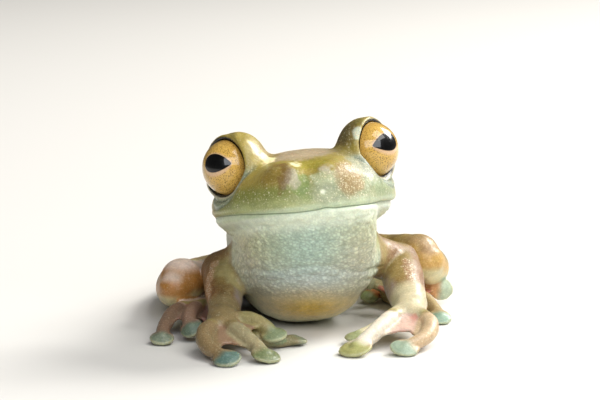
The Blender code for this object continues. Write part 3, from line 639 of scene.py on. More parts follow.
def addDigits(clay, palm, digits, reaches, discThickness):
    clay.add(palm, 0.3)
    for line, radii, disc, radius, facing in digits:
        steps = len(line)
        thick = [radii[0] + (radii[1] - radii[0]) * i / steps for i in range(steps + 1)]
        clay.add(Chain(list(zip([*line, disc], thick)), 6 * steps), 0.45)
        turn = turnToAxis(facing, np.array(disc) - np.array(line[-1]))
        clay.add(Ball(disc, (radius * 0.97, radius, discThickness), turn), 0.18)
    for first, second, reach in zip(digits, digits[1:], reaches):
        clay.add(Web(first, second, reach), 0.12)


def joinLimb(body, limb, root, near, blend):
    # soft where the limb leaves the body, and only a crease where it lies against it
    axes = [body.low[i] + body.step * np.arange(body.size[i], dtype=np.float32) for i in range(3)]
    grid = np.meshgrid(*axes, indexing="ij", sparse=True)
    away = sum((grid[i] - root[i]) ** 2 for i in range(3))
    k = 0.22 + (blend - 0.22) * np.exp(-away / near**2)
    body.field = smoothMin(body.field, limb.field, k.astype(np.float32))


def modelSkin():
    body = Clay(claySpec)
    body.field = body.loftField(torsoRings())
    left, _, up = toHead(*body.window(claySpec["low"], claySpec["high"])[1])
    tight, soft = headSpec["neckBlend"]
    k = tight + (soft - tight) * np.maximum(smoothStep(7.5, 3.0, np.abs(left)), smoothStep(-4.5, -2.0, up))
    body.field = smoothMin(body.field, body.loftField(headRings()), k.astype(np.float32))
    for side, spot, radii, blend in headSpec["bumps"]:
        body.add(Ball(onHead(np.array(spot) * (side, 1, 1)), radii, headTurn), blend)
    for spot, radii, blend in torsoSpec["muscles"]:
        body.add(Ball(spot, radii), blend)
    for side in (-1, 1):
        run = [(onHead((side * (headSide(f, u) + 0.1), f, u)), 0.42) for f, u in headSpec["foldRun"]]
        body.add(Chain(run), 0.7)
    shapeLids(body)
    shapeNostrils(body)
    print("skin: head and trunk laid")
    for side in ("right", "left"):
        arm = Clay(claySpec)
        spec = armSpec[side]
        arm.add(Chain(spec["upper"]), 0.1)
        arm.add(Chain(spec["fore"]), 0.5)
        addDigits(arm, Chain(spec["palm"]), spec["digits"], armSpec["webReach"][side],
                  armSpec["discThickness"])
        joinLimb(body, arm, spec["upper"][0][0], 5.2, armSpec["shoulderBlend"][side])
        leg = Clay(claySpec)
        spec = legSpec[side]
        leg.add(Chain(spec["thigh"]), 0.1)
        leg.add(Chain(spec["shank"]), 0.3)
        leg.add(Chain(spec["tarsus"]), 0.3)
        addDigits(leg, Chain(spec["palm"]), spec["digits"], legSpec["webReach"][side],
                  legSpec["discThickness"])
        joinLimb(body, leg, spec["thigh"][0][0], 6.0, legSpec["hipBlend"])
    print("skin: limbs joined")
    height = body.window(claySpec["low"], claySpec["high"])[1][2]
    body.field = np.maximum(body.field, -height)
    return body.mesh()


def largestPiece(points, quads):
    # grows the piece that holds the most of the mesh and drops the rest
    ends = np.vstack([quads[:, (i, (i + 1) % 4)] for i in range(4)])
    ends = np.vstack((ends, ends[:, ::-1]))
    ends = ends[np.argsort(ends[:, 0], kind="stable")]
    starts = np.searchsorted(ends[:, 0], np.arange(len(points) + 1))
    label = np.full(len(points), -1)
    sizes = []
    for seed in range(len(points)):
        if label[seed] >= 0:
            continue
        front = np.array([seed])
        label[seed] = len(sizes)
        total = 0
        while len(front):
            total += len(front)
            near = np.concatenate([ends[starts[v]:starts[v + 1], 1] for v in front])
            near = np.unique(near[label[near] < 0])
            label[near] = len(sizes)
            front = near
        sizes.append(total)
    keep = label == int(np.argmax(sizes))
    order = np.cumsum(keep) - 1
    print("skin: pieces", len(sizes))
    return points[keep], order[quads[keep[quads].all(1)]]


def meshPiece(name, points, faces, smooth=True):
    mesh = bpy.data.meshes.new(name)
    sides = faces.shape[1]
    mesh.vertices.add(len(points))
    mesh.vertices.foreach_set("co", points.astype(np.float32).ravel())
    mesh.loops.add(faces.size)
    mesh.loops.foreach_set("vertex_index", faces.astype(np.int32).ravel())
    mesh.polygons.add(len(faces))
    mesh.polygons.foreach_set("loop_start", np.arange(0, faces.size, sides, dtype=np.int32))
    mesh.update(calc_edges=True)
    mesh.validate()
    if smooth:
        mesh.shade_smooth()
    piece = bpy.data.objects.new(name, mesh)
    bpy.context.scene.collection.objects.link(piece)
    return piece


def setValues(piece, name, values):
    # keeps a number or a colour for each vertex
    kind = "FLOAT" if values.ndim == 1 else "FLOAT_COLOR"
    layer = piece.data.attributes.new(name, kind, "POINT")
    if kind == "FLOAT":
        layer.data.foreach_set("value", values.astype(np.float32))
    else:
        full = np.concatenate((values, np.ones((len(values), 1))), 1)
        layer.data.foreach_set("color", full.astype(np.float32).ravel())


def linear(colour):
    # 0 to 255 as seen, to the linear values that shaders use
    c = np.array(colour) / 255
    return np.where(c <= 0.04045, c / 12.92, ((c + 0.055) / 1.055) ** 2.4)


class Tone:
    # wraps a shader socket, so that maths on it can be written plainly
    def __init__(self, tree, socket):
        self.tree, self.socket = tree, socket

    def math(self, operation, *others):
        return addNode(self.tree, "ShaderNodeMath", {"operation": operation}, [self, *others])

    def __add__(self, other):
        return self.math("ADD", other)

    def __sub__(self, other):
        return self.math("SUBTRACT", other)

    def __mul__(self, other):
        return self.math("MULTIPLY", other)

    def __truediv__(self, other):
        return self.math("DIVIDE", other)

    def __rsub__(self, other):
        return addNode(self.tree, "ShaderNodeMath", {"operation": "SUBTRACT"}, [other, self])

    def __rtruediv__(self, other):
        return addNode(self.tree, "ShaderNodeMath", {"operation": "DIVIDE"}, [other, self])

    __radd__ = __add__
    __rmul__ = __mul__

    def step(self, low, high):
        # 0 below low, 1 above high, smooth between
        return addNode(self.tree, "ShaderNodeMapRange", {"interpolation_type": "SMOOTHSTEP"},
                       [self, low, high])


def addNode(tree, kind, settings, values, output=0):
    node = tree.nodes.new(kind)
    for name, value in settings.items():
        setattr(node, name, value)
    named = values.items() if isinstance(values, dict) else enumerate(values)
    for key, value in named:
        socket = node.inputs[key]
        if isinstance(value, Tone):
            tree.links.new(value.socket, socket)
        else:
            socket.default_value = value
    return Tone(tree, node.outputs[output])


def mixColour(amount, first, second, how="MIX"):
    tree = next(v.tree for v in (amount, first, second) if isinstance(v, Tone))
    first, second = [v if isinstance(v, Tone) else (*v, 1) for v in (first, second)]
    return addNode(tree, "ShaderNodeMix", {"data_type": "RGBA", "blend_type": how},
                   {0: amount, 6: first, 7: second}, 2)


def newMaterial(name):
    made = bpy.data.materials.new(name)
    made.use_nodes = True
    made.node_tree.nodes.clear()
    return made, made.node_tree


def finishMaterial(tree, constants, linked):
    shader = tree.nodes.new("ShaderNodeBsdfPrincipled")
    for name, value in constants.items():
        shader.inputs[name].default_value = value
    for name, tone in linked.items():
        tree.links.new(tone.socket, shader.inputs[name])
    out = tree.nodes.new("ShaderNodeOutputMaterial")
    tree.links.new(shader.outputs[0], out.inputs[0])


def attribute(tree, name, output="Fac"):
    return addNode(tree, "ShaderNodeAttribute", {"attribute_name": name}, [], output)


skinFinish = {
    "cream": linear((240, 232, 196)),
    # painted shade: colour of the dark line in the mouth's slit
    "line": linear((96, 112, 74)),
    "fleckSize": 4700.0,
    "grainSize": 3300.0,
    "roughness": 0.36,
    "coat": 0.14,
}


def skinMaterial():
    spec = skinFinish
    made, tree = newMaterial("frog_skin")
    place = addNode(tree, "ShaderNodeTexCoord", {}, [], "Object")
    tint = attribute(tree, "tint", "Color")
    fleck = attribute(tree, "fleck")
    mouth = attribute(tree, "mouth")
    mottle = addNode(tree, "ShaderNodeTexNoise", {}, {"Vector": place, "Scale": 1400.0, "Detail": 4.0})
    fine = addNode(tree, "ShaderNodeTexNoise", {}, {"Vector": place, "Scale": 7000.0, "Detail": 3.0})
    colour = mixColour(1.0, tint, mixColour(mottle, (0.70, 0.72, 0.72), (1.30, 1.28, 1.28)), "MULTIPLY")
    colour = mixColour(1.0, colour, mixColour(fine, (0.78, 0.78, 0.78), (1.22, 1.22, 1.22)), "MULTIPLY")
    shift = addNode(tree, "ShaderNodeTexNoise", {}, {"Vector": place, "Scale": 4200.0}, "Color")
    warped = addNode(tree, "ShaderNodeVectorMath", {"operation": "MULTIPLY_ADD"},
                     [shift, (0.00016, 0.00016, 0.00016), place])
    sockets = {"Vector": warped, "Scale": spec["fleckSize"]}
    cells, number = (addNode(tree, "ShaderNodeTexVoronoi", {}, sockets, name)
                     for name in ("Distance", "Color"))
    pick = addNode(tree, "ShaderNodeSeparateColor", {}, [number])
    dots = (0.46 - cells).step(0.0, 0.22) * (pick + fleck - 1.0).step(-0.06, 0.22)
    specks = (fine - 0.56).step(0.0, 0.08) * (fleck * 0.8 + 0.12)
    colour = mixColour(specks, colour, mixColour(0.6, colour, spec["cream"]))
    colour = mixColour(dots * 0.8, colour, mixColour(0.7, colour, spec["cream"]))
    # painted shade: a dark line along the carved slit of the mouth
    line = 1.0 - mouth.math("ABSOLUTE").step(0.02, 0.10)
    colour = mixColour(line * 0.75, colour, spec["line"])
    rough = spec["roughness"] + mottle * 0.22 - dots * 0.06
    grain = addNode(tree, "ShaderNodeTexVoronoi", {"feature": "SMOOTH_F1"},
                    {"Vector": place, "Scale": spec["grainSize"]})
    height = (1.0 - grain) * 0.8 + fine * 0.5 + dots * 0.4
    bump = addNode(tree, "ShaderNodeBump", {}, {"Strength": 0.4, "Distance": 0.00010, "Height": height})
    finishMaterial(tree, {"Subsurface Weight": 0.3, "Subsurface Scale": 0.0010,
                          "Subsurface Radius": (1.0, 0.6, 0.35),
                          "Specular IOR Level": 0.5, "Coat Weight": spec["coat"], "Coat Roughness": 0.2},
                   {"Base Color": colour, "Roughness": rough, "Normal": bump})
    return made


paintSpec = {
    "olive": (160, 142, 66),
    "midFace": (126, 130, 62),
    "lowFace": (156, 162, 106),
    "leftFace": (154, 160, 124),
    "lip": (190, 202, 168),
    "jaw": (222, 230, 208),
    "lowLip": (206, 214, 190),
    "belowEye": (138, 150, 128),
    "lidRim": (186, 180, 152),
    "lidEdge": (20, 18, 15),
    "blotch": (98, 82, 36),
    "backGreen": (128, 140, 66),
    "flank": (176, 166, 112),
    "belly": (198, 210, 182),
    "backOfLeg": (150, 128, 66),
    "legBars": (104, 84, 40),
    "discRim": (176, 176, 140),
    "pinkLine": (212, 134, 120),
    # spots on the head: place (left, ahead, up), radii, colour, strength, how many flecks
    "spots": (
        ((-0.2, 2.0, 0.8), (3.4, 4.2, 1.6), (180, 160, 134), 0.8, 0.15),
        ((-3.0, 1.6, 0.9), (1.1, 1.8, 1.1), (144, 122, 54), 0.7, 0.08),
        ((0.3, 6.8, -0.8), (1.5, 1.6, 0.7), (158, 146, 46), 0.7, 0.10),
        ((-2.9, 7.4, -1.3), (1.6, 1.9, 1.4), (124, 100, 40), 0.6, 0.12),
        ((-0.8, 8.6, -2.4), (0.9, 1.0, 1.6), (108, 130, 42), 0.8, 0.08),
        ((1.2, 8.5, -2.1), (1.4, 0.9, 0.7), (174, 180, 140), 0.8, 0.65),
        ((1.65, 8.1, -1.3), (0.65, 0.7, 0.45), (188, 178, 150), 0.8, 0.25),
        ((3.7, 7.6, -2.4), (1.5, 1.7, 1.7), (156, 126, 80), 0.8, 0.8),
        ((4.2, 1.4, 1.7), (1.3, 2.2, 1.4), (140, 122, 70), 0.8, 0.3),
        ((4.3, 3.4, 0.1), (1.0, 0.9, 0.6), (158, 142, 84), 0.6, 0.8),
        ((5.2, 5.0, -1.3), (1.8, 2.2, 1.3), (138, 144, 120), 0.85, 0.8),
        ((6.9, 3.6, -3.6), (1.8, 2.6, 1.1), (138, 150, 112), 0.85, 0.2),
        ((-1.5, 8.4, -1.7), (0.55, 0.7, 0.95), (178, 168, 142), 0.8, 0.15),
        ((-3.3, 3.0, 0.2), (0.7, 1.1, 0.55), (252, 240, 186), 1.0, 0.0),
        ((6.6, 4.2, -1.7), (1.6, 2.0, 1.3), (118, 124, 104), 0.75, 0.6),
        ((5.35, 3.0, 1.2), (0.3, 0.4, 0.22), (196, 204, 174), 0.9, 0.2),
        ((4.95, 3.6, 0.15), (0.42, 0.42, 0.28), (190, 196, 166), 0.9, 0.2),
        ((-1.25, 6.75, -0.6), (0.5, 0.6, 0.3), (244, 232, 180), 1.0, 0.0),
        ((5.45, 2.7, 1.75), (0.42, 0.55, 0.65), (212, 218, 192), 0.95, 0.2),
        ((5.15, 3.3, 0.6), (0.5, 0.6, 0.34), (198, 204, 172), 0.9, 0.2),
        ((0.95, 9.0, -3.5), (0.2, 0.4, 0.2), (232, 236, 204), 0.9, 0.0),
        ((-4.85, 2.4, 2.1), (0.15, 0.4, 0.15), (222, 208, 150), 0.9, 0.0),
    ),
    # bands on the head: line (left, ahead, up), radius, colour, strength
    "bands": (
        (((-2.0, 6.6, -0.5), (-2.15, 8.0, -1.4), (-2.7, 8.5, -2.6)), 0.4, (108, 78, 32), 0.65),
        (((-4.7, 2.4, 1.85), (-4.3, 2.6, 1.3), (-4.05, 2.9, 0.65)), 0.27, (238, 222, 196), 1.0),
        (((-4.05, 2.3, 1.6), (-3.75, 2.3, 1.15)), 0.1, (226, 204, 130), 0.9),
    ),
    # washes of the throat and belly: place in the frog's frame, reach, colour, strength
    "washes": (
        ((-5.6, -8.0, 10.0), (2.6, 6.0, 3.6), (212, 206, 148), 0.75),
        ((6.0, -9.0, 11.2), (2.6, 6.0, 2.6), (206, 202, 156), 0.7),
        ((4.6, -9.0, 7.8), (2.4, 5.0, 2.6), (216, 206, 182), 0.7),
        ((-4.8, -7.0, 6.8), (2.2, 5.0, 2.2), (220, 214, 186), 0.7),
        ((0.9, -12.0, 9.6), (3.0, 6.0, 3.6), (184, 212, 198), 0.8),
        ((0.6, -9.6, 5.8), (5.2, 4.0, 1.5), (196, 216, 222), 0.75),
        ((0.2, -7.0, 3.0), (6.8, 6.0, 2.5), (236, 240, 232), 0.9),
        ((1.1, -6.0, 2.7), (5.8, 7.0, 2.3), (190, 156, 56), 1.0),
    ),
}

armSpec["paint"] = {
    "right": {
        # the right arm lies on the shaded side: its base, outer, palm, digit and web colours are darker
        # than the left arm's, partly painted shade
        "base": (114, 84, 44),
        "upper": (142, 124, 66),
        "root": (-4.4, -4.0, 6.6),
        "shoulder": (172, 158, 108),
        "inner": (150, 134, 130),
        "outer": (128, 88, 48),
        # where the row of cream flecks runs
        "row": ((-8.3, -1.8, 6.2), (-8.8, -5.6, 4.3), (-8.6, -8.6, 3.2)),
        "rowTint": (186, 142, 104),
        "palm": (138, 118, 78),
        "digits": (
            ((128, 120, 84), (112, 122, 98)), ((150, 138, 90), (122, 134, 98)),
            ((160, 148, 112), (104, 114, 72)), ((134, 112, 76), (82, 110, 100)),
        ),
        "web": (146, 116, 90),
    },
    "left": {
        "base": (134, 102, 56),
        "upper": (140, 120, 66),
        "root": (5.6, -3.6, 7.2),
        "shoulder": (164, 146, 92),
        "inner": (150, 130, 122),
        "outer": (142, 106, 78),
        "row": ((10.1, -1.6, 6.4), (10.7, -4.5, 5.0), (11.4, -7.1, 3.6)),
        "rowTint": (152, 114, 82),
        "palm": (192, 180, 146),
        "digits": (
            ((200, 188, 150), (140, 152, 108)), ((204, 192, 158), (150, 156, 110)),
            ((216, 204, 184), (162, 160, 98)), ((190, 164, 128), (152, 170, 146)),
        ),
        "web": (206, 174, 156),
        # pink line beside the outer finger
        "streak": ((11.0, -8.6, 2.6), (10.6, -10.4, 2.2), (9.6, -12.0, 1.5)),
    },
}
legSpec["paint"] = {
    "right": {
        # the right leg lies on the shaded side: its base, under, foot, toe and web colours are darker than
        # the left leg's, partly painted shade; its pale top is partly a painted highlight on the upward
        # faces
        "base": (168, 116, 54), "top": (224, 204, 188), "under": (200, 192, 146), "foot": (132, 104, 84),
        "digits": (
            ((144, 114, 94), (106, 122, 104)), ((144, 114, 94), (106, 122, 104)),
            ((150, 112, 98), (100, 122, 104)), ((146, 114, 94), (92, 108, 90)),
            ((126, 100, 80), (112, 122, 102)),
        ),
        "web": (160, 108, 98),
    },
    "left": {
        "base": (194, 156, 86), "top": (168, 138, 108), "under": (210, 204, 160), "foot": (164, 144, 100),
        "digits": (
            ((206, 140, 92), (148, 160, 112)), ((182, 176, 132), (176, 180, 144)),
            ((170, 148, 104), (136, 164, 136)), ((170, 148, 104), (136, 164, 140)),
            ((206, 158, 106), (168, 182, 156)),
        ),
        "web": (188, 120, 98),
    },
}


class Paint:
    # colour and number of flecks at each point of the skin
    def __init__(self, zones, colour):
        self.zones = zones
        self.tint = np.tile(linear(colour), (len(zones.x), 1))
        self.fleck = np.full(len(zones.x), 0.06)

    def wash(self, mask, colour, fleck=None):
        mask = np.clip(mask, 0, 1)
        self.tint += (linear(colour) - self.tint) * mask[:, None]
        if fleck is not None:
            self.fleck += (fleck - self.fleck) * mask

    def shade(self, mask, amount):
        # painted shade: darkens the colour where the mask lies
        self.tint *= (1 - np.clip(mask, 0, 1) * amount)[:, None]


def paintHead(paint, zones):
    spec = paintSpec
    face = zones.head * smoothStep(-2.0, 3.0, zones.ahead)
    # down the face: olive, green, then pale mint over the lip, and paler on the left
    paint.wash(face * smoothStep(-1.6, -3.0, zones.up), spec["midFace"], 0.25)
    paint.wash(face * smoothStep(-3.0, -4.3, zones.up), spec["lowFace"], 0.2)
    paint.wash(face * smoothStep(-1.2, 1.6, zones.left) * smoothStep(-1.8, -3.2, zones.up),
               spec["leftFace"], 0.3)
    for place, radii, colour, amount, fleck in spec["spots"]:
        paint.wash(zones.patch(place, radii) * zones.head * amount, colour, fleck)
    for line, radius, colour, amount in spec["bands"]:
        paint.wash(zones.streak(onHead(line), radius) * zones.head * amount, colour, 0.0)
    paint.wash(zones.head * smoothStep(-4.3, -4.8, zones.up), spec["lip"], 0.05)
    paint.wash(smoothStep(-7.2, -5.8, zones.up) * zones.belly * zones.lipReach * 0.8, spec["jaw"], 0.0)
    paint.wash(smoothStep(-5.0, -5.2, zones.up) * smoothStep(-6.2, -5.7, zones.up) * zones.lipReach,
               spec["lowLip"], 0.03)
    for side in (-1, 1):
        gap = zones.eyeGap(side)
        below = smoothStep(0.2, -1.2, zones.up)
        paint.wash(smoothStep(1.9, 1.4, gap) * below * 0.85, spec["belowEye"], 0.35)
        paint.wash(smoothStep(0.62, 0.45, gap) * below * 0.85, spec["lidRim"], 0.05)
        # painted shade: dark lines in the lid folds below each eye, where the carving sinks the skin, and a
        # dark line above each eye along the upper lid
        paint.shade(np.exp(-(((gap - 0.74) / 0.08) ** 2)) * below, 0.6)
        paint.shade(np.exp(-(((gap - 1.5) / 0.1) ** 2)) * below, 0.35)
        paint.shade(np.exp(-(((gap - 0.55) / 0.07) ** 2)) * (1 - below), 0.45)
        paint.wash(smoothStep(0.38, 0.28, gap), spec["lidEdge"], 0.0)


def paintTrunk(paint, zones):
    spec = paintSpec
    back = (1 - zones.head) * (1 - zones.belly)
    blotch = softNoise(zones.points, 3.6, 51) + 0.45 * softNoise(zones.points, 1.1, 52)
    paint.wash(back * smoothStep(0.18, 0.42, blotch) * 0.6, spec["blotch"], 0.08)
    paint.wash(back * smoothStep(0.25, 0.5, -blotch) * 0.5, spec["backGreen"], 0.2)
    flank = back * smoothStep(9.5, 6.0, zones.z) * smoothStep(-0.2, -0.6, -np.abs(zones.ways[:, 0]))
    paint.wash(flank * 0.7, spec["flank"], 0.12)
    paint.wash(zones.belly, spec["belly"], 0.0)
    for place, radii, colour, amount in spec["washes"]:
        away = sum(((v - c) / r) ** 2 for v, c, r in zip(zones.points.T, place, radii))
        paint.wash(np.exp(-away * 0.9) * zones.belly * amount, colour)
    # painted shade in the seams between the throat's and belly's raised grains
    seamShade = (1 - zones.grain) * zones.belly * smoothStep(3.0, 4.5, zones.z)
    paint.shade(seamShade, 0.34)
    paint.tint *= (1 + 0.14 * (zones.grainNumber - 0.5) * zones.belly)[:, None]


def paintLimbs(paint, zones):
    for left in (False, True):
        side = ("right", "left")[left]
        outward = zones.ways[:, 0] * (1 if left else -1)
        # each side's own colours; the right arm's darker ones are partly painted shade
        look, gap = armSpec["paint"][side], zones.armGap[side]
        arm = smoothStep(0.75, 0.05, gap)
        paint.wash(arm, look["base"], 0.06)
        paint.wash(arm * smoothStep(4.2, 6.2, zones.z) * 0.9, look["upper"], 0.04)
        paint.wash(arm * smoothStep(0.25, 0.7, outward) * 0.8, look["outer"], 0.12)
        inner = smoothStep(0.45, 0.8, -outward) * smoothStep(5.6, 4.6, zones.z)
        paint.wash(arm * inner, look["inner"], 0.0)
        root = np.sqrt(sum((v - c) ** 2 for v, c in zip(zones.points.T, look["root"])))
        paint.wash(arm * smoothStep(4.6, 2.6, root + 2 * zones.ragged), look["shoulder"], 0.0)
        paint.wash(zones.streak(look["row"], 0.45) * arm * 0.75, look["rowTint"], 0.95)
        palm = smoothStep(1.3, 0.3, zones.gap(armSpec[side]["palm"]))
        paint.wash(palm, look["palm"], 0.1)
        paintDigits(paint, zones, True, side, look, armSpec[side]["digits"])
        # each side's own colours; the right leg's darker ones are partly painted shade
        look, gap = legSpec["paint"][side], zones.legGap[side]
        leg = smoothStep(0.75, 0.05, gap) * (1 - smoothStep(0.3, 0.0, zones.armGap[side]))
        paint.wash(leg, look["base"], 0.05)
        # upward faces of the leg: mauve skin colour, and on the right leg partly a painted highlight
        paint.wash(leg * smoothStep(0.35, 0.85, zones.ways[:, 2]) * 0.9, look["top"], 0.12)
        paint.wash(leg * smoothStep(0.1, 0.6, -zones.ways[:, 2]) * 0.85, look["under"], 0.0)
        bars = smoothStep(-0.1, 0.35, softNoise(zones.points, 2.6, 61 + left))
        behind = leg * smoothStep(4.0, 9.0, zones.y) * smoothStep(-0.1, 0.5, zones.ways[:, 2])
        paint.wash(behind * 0.85, paintSpec["backOfLeg"], 0.2)
        paint.wash(behind * bars * 0.6, paintSpec["legBars"], 0.1)
        ankle = np.minimum(zones.gap(legSpec[side]["palm"]), zones.gap(legSpec[side]["tarsus"]))
        sole = smoothStep(0.6, 0.0, ankle)
        paint.wash(sole * leg, look["foot"], 0.15)
        paintDigits(paint, zones, False, side, look, legSpec[side]["digits"])


def paintDigits(paint, zones, ofArm, side, look, digits):
    # web first, then each digit over it and its disc at the end
    near = np.minimum.reduce([zones.digitGaps[ofArm, side, i] for i in range(len(digits))])
    span = [np.sqrt(sum((v - c) ** 2 for v, c in zip(zones.points.T, digit[2]))) for digit in digits]
    home = np.minimum.reduce(span)
    reaches = (armSpec if ofArm else legSpec)["webReach"][side]
    close = (home < 7.0) & (near < 2.2) & (zones.z < 4.5)
    sheet = np.full(len(near), 9.0)
    webs = [Web(a, b, reach, 0.45).distance(*zones.points[close].T)
            for a, b, reach in zip(digits, digits[1:], reaches)]
    sheet[close] = np.minimum.reduce(webs)
    paint.wash(smoothStep(0.3, 0.1, sheet) * smoothStep(0.0, 0.3, near), look["web"], 0.0)
    if "streak" in look:
        paint.wash(zones.streak(look["streak"], 0.22) * 0.55, paintSpec["pinkLine"], 0.0)
    for i, (line, _, disc, radius, facing) in enumerate(digits):
        bone, pad = look["digits"][i]
        long = np.linalg.norm(np.array(disc) - line[0]) + 1.2
        own = smoothStep(0.45, 0.05, zones.digitGaps[ofArm, side, i])
        paint.wash(own * smoothStep(long, long - 1.5, span[i]), bone, 0.12)
        turn = turnToAxis(facing, np.array(disc) - np.array(line[-1]))
        across, along, over = ((zones.points - disc) @ turn).T
        wide = np.hypot(across, along) / radius
        face = smoothStep(1.25, 0.95, wide) * (np.abs(over) < 1.3)
        paint.wash(face * smoothStep(-0.6, 0.15, along / radius), pad, 0.04)
        tip = smoothStep(-0.2, 0.3, along / radius)
        rim = np.exp(-(((wide - 0.98) / 0.09) ** 2)) * tip * (np.abs(over) < 0.8)
        paint.wash(rim * 0.6, paintSpec["discRim"], 0.0)


def paintSkin(piece, zones):
    paint = Paint(zones, paintSpec["olive"])
    paintTrunk(paint, zones)
    paintHead(paint, zones)
    paintLimbs(paint, zones)
    setValues(piece, "tint", np.clip(paint.tint, 0, 1))
    setValues(piece, "fleck", paint.fleck)
    gap = np.clip(zones.up - mouthLine(zones.left), -2, 2)
    setValues(piece, "mouth", np.where(zones.lipReach > 0.5, gap, 2.0))


def surfaceWays(piece):
    # the way the skin faces at each point
    ways = np.empty(len(piece.data.vertices) * 3, np.float32)
    piece.data.vertices.foreach_get("normal", ways)
    return ways.reshape(-1, 3)


detailSpec = {
    # size and height of the grains on each part
    "throatGrain": (0.36, 0.05),
    "faceGrain": (0.27, 0.016),
    "limbGrain": 0.012,
    "lump": (1.3, 0.05),
    "wrinkle": 0.11,
    # the net of wrinkles: stretch, then size, seed, width and strength of each kind
    "creaseStretch": (1.5, 1.5, 0.55),
    "creases": ((1.0, 41, 0.11, 1.0), (0.55, 42, 0.09, 0.5)),
    # height, depth and width of the long folds across the throat and belly
    "folds": ((7.3, 0.13, 0.35), (6.3, 0.08, 0.25), (4.4, 0.12, 0.5)),
    "lidFolds": ((0.78, 0.10, 0.11), (1.5, 0.08, 0.13)),
    "discGroove": 0.05,
}


def carving(zones):
    # fine forms that are too small for the clay: how far each point sinks
    spec = detailSpec
    depth = mouthDepth(zones.left, zones.ahead, zones.up) + earDepth(zones.left, zones.ahead, zones.up)
    for side in (-1, 1):
        gap = zones.eyeGap(side)
        below = smoothStep(0.3, -1.2, zones.up)
        for place, deep, wide in spec["lidFolds"]:
            groove = np.exp(-(((gap - place) / wide) ** 2))
            swell = np.exp(-(((gap - place + 0.33) / 0.22) ** 2))
            depth += deep * below * (groove - 0.8 * swell)
    clear = smoothStep(0.15, 0.5, np.minimum(zones.eyeGap(-1), zones.eyeGap(1)))
    size, high = spec["lump"]
    soft = softNoise(zones.points, size, 11) + 0.5 * softNoise(zones.points, size / 2, 12)
    depth += high * soft * clear * (0.35 + 0.65 * (1 - zones.head))
    size, high = spec["throatGrain"]
    zones.grain, zones.grainNumber = granules(zones.points, size, 21)
    depth -= high * zones.grain * zones.belly * (1 - 0.75 * zones.limbs)
    size, high = spec["faceGrain"]
    fine, _ = granules(zones.points, size, 31)
    weaker = np.where(zones.limbs > 0.5, spec["limbGrain"] / high, 1)
    depth -= high * fine * clear * (1 - zones.belly) * weaker
    for limb in (armSpec, legSpec):
        for side in ("right", "left"):
            for line, _, disc, radius, facing in limb[side]["digits"]:
                turn = turnToAxis(facing, np.array(disc) - np.array(line[-1]))
                across, along, over = ((zones.points - disc) @ turn).T
                wide = np.hypot(across, along)
                tip = smoothStep(-0.3, 0.1, along / radius)
                groove = np.exp(-(((wide - 0.8 * radius) / 0.12) ** 2)) * tip
                depth += spec["discGroove"] * groove * (np.abs(over) < 0.8) * (over > 0)
    stretched = zones.points / spec["creaseStretch"]
    crease = sum(amount * np.exp(-((softNoise(stretched, size, seed) / wide) ** 2))
                 for size, seed, wide, amount in spec["creases"])
    sides = smoothStep(1.5, 4.5, np.abs(zones.x - 0.6)) * smoothStep(4.0, 5.5, zones.z)
    for level, deep, wide in spec["folds"]:
        bend = level + 0.35 * softNoise(zones.points / (2.2, 9, 9), 1.0, 45) - 0.03 * (zones.x - 0.8) ** 2
        depth += deep * np.exp(-(((zones.z - bend) / wide) ** 2)) * zones.belly * (1 - zones.limbs)
    depth += spec["wrinkle"] * crease * zones.belly * (0.15 + 0.85 * sides) * (1 - 0.6 * zones.limbs)
    return depth


def makeSkin():
    points, quads = modelSkin()
    points, quads = largestPiece(points, quads)
    a, b, c = (points[quads[:, i]] for i in (0, 1, 2))
    d = points[quads[:, 3]]
    volume = (np.einsum("ij,ij->i", a, np.cross(b, c)) + np.einsum("ij,ij->i", a, np.cross(c, d))).sum() / 6
    if volume < 0:
        quads = quads[:, ::-1]
    piece = meshPiece("skin", toModel(points), quads)
    zones = Zones(points, surfaceWays(piece))
    points = points - zones.ways * carving(zones)[:, None]
    points[:, 2] = np.maximum(points[:, 2], 0)
    piece.data.vertices.foreach_set("co", toModel(points).astype(np.float32).ravel())
    piece.data.update()
    print("skin: fine forms carved")
    paintSkin(piece, zones)
    piece.data.materials.append(skinMaterial())
    print("skin: points", len(points), "faces", len(quads), "volume", round(abs(volume)))
    return piece


irisFinish = {
    "gold": linear((196, 146, 50)),
    "paleGold": linear((230, 194, 108)),
    "veins": linear((104, 68, 20)),
    "rim": linear((160, 110, 40)),
    "pinkEdge": linear((214, 178, 146)),
    "pupilLength": 0.54,
    "pupilHeight": 0.32,
}


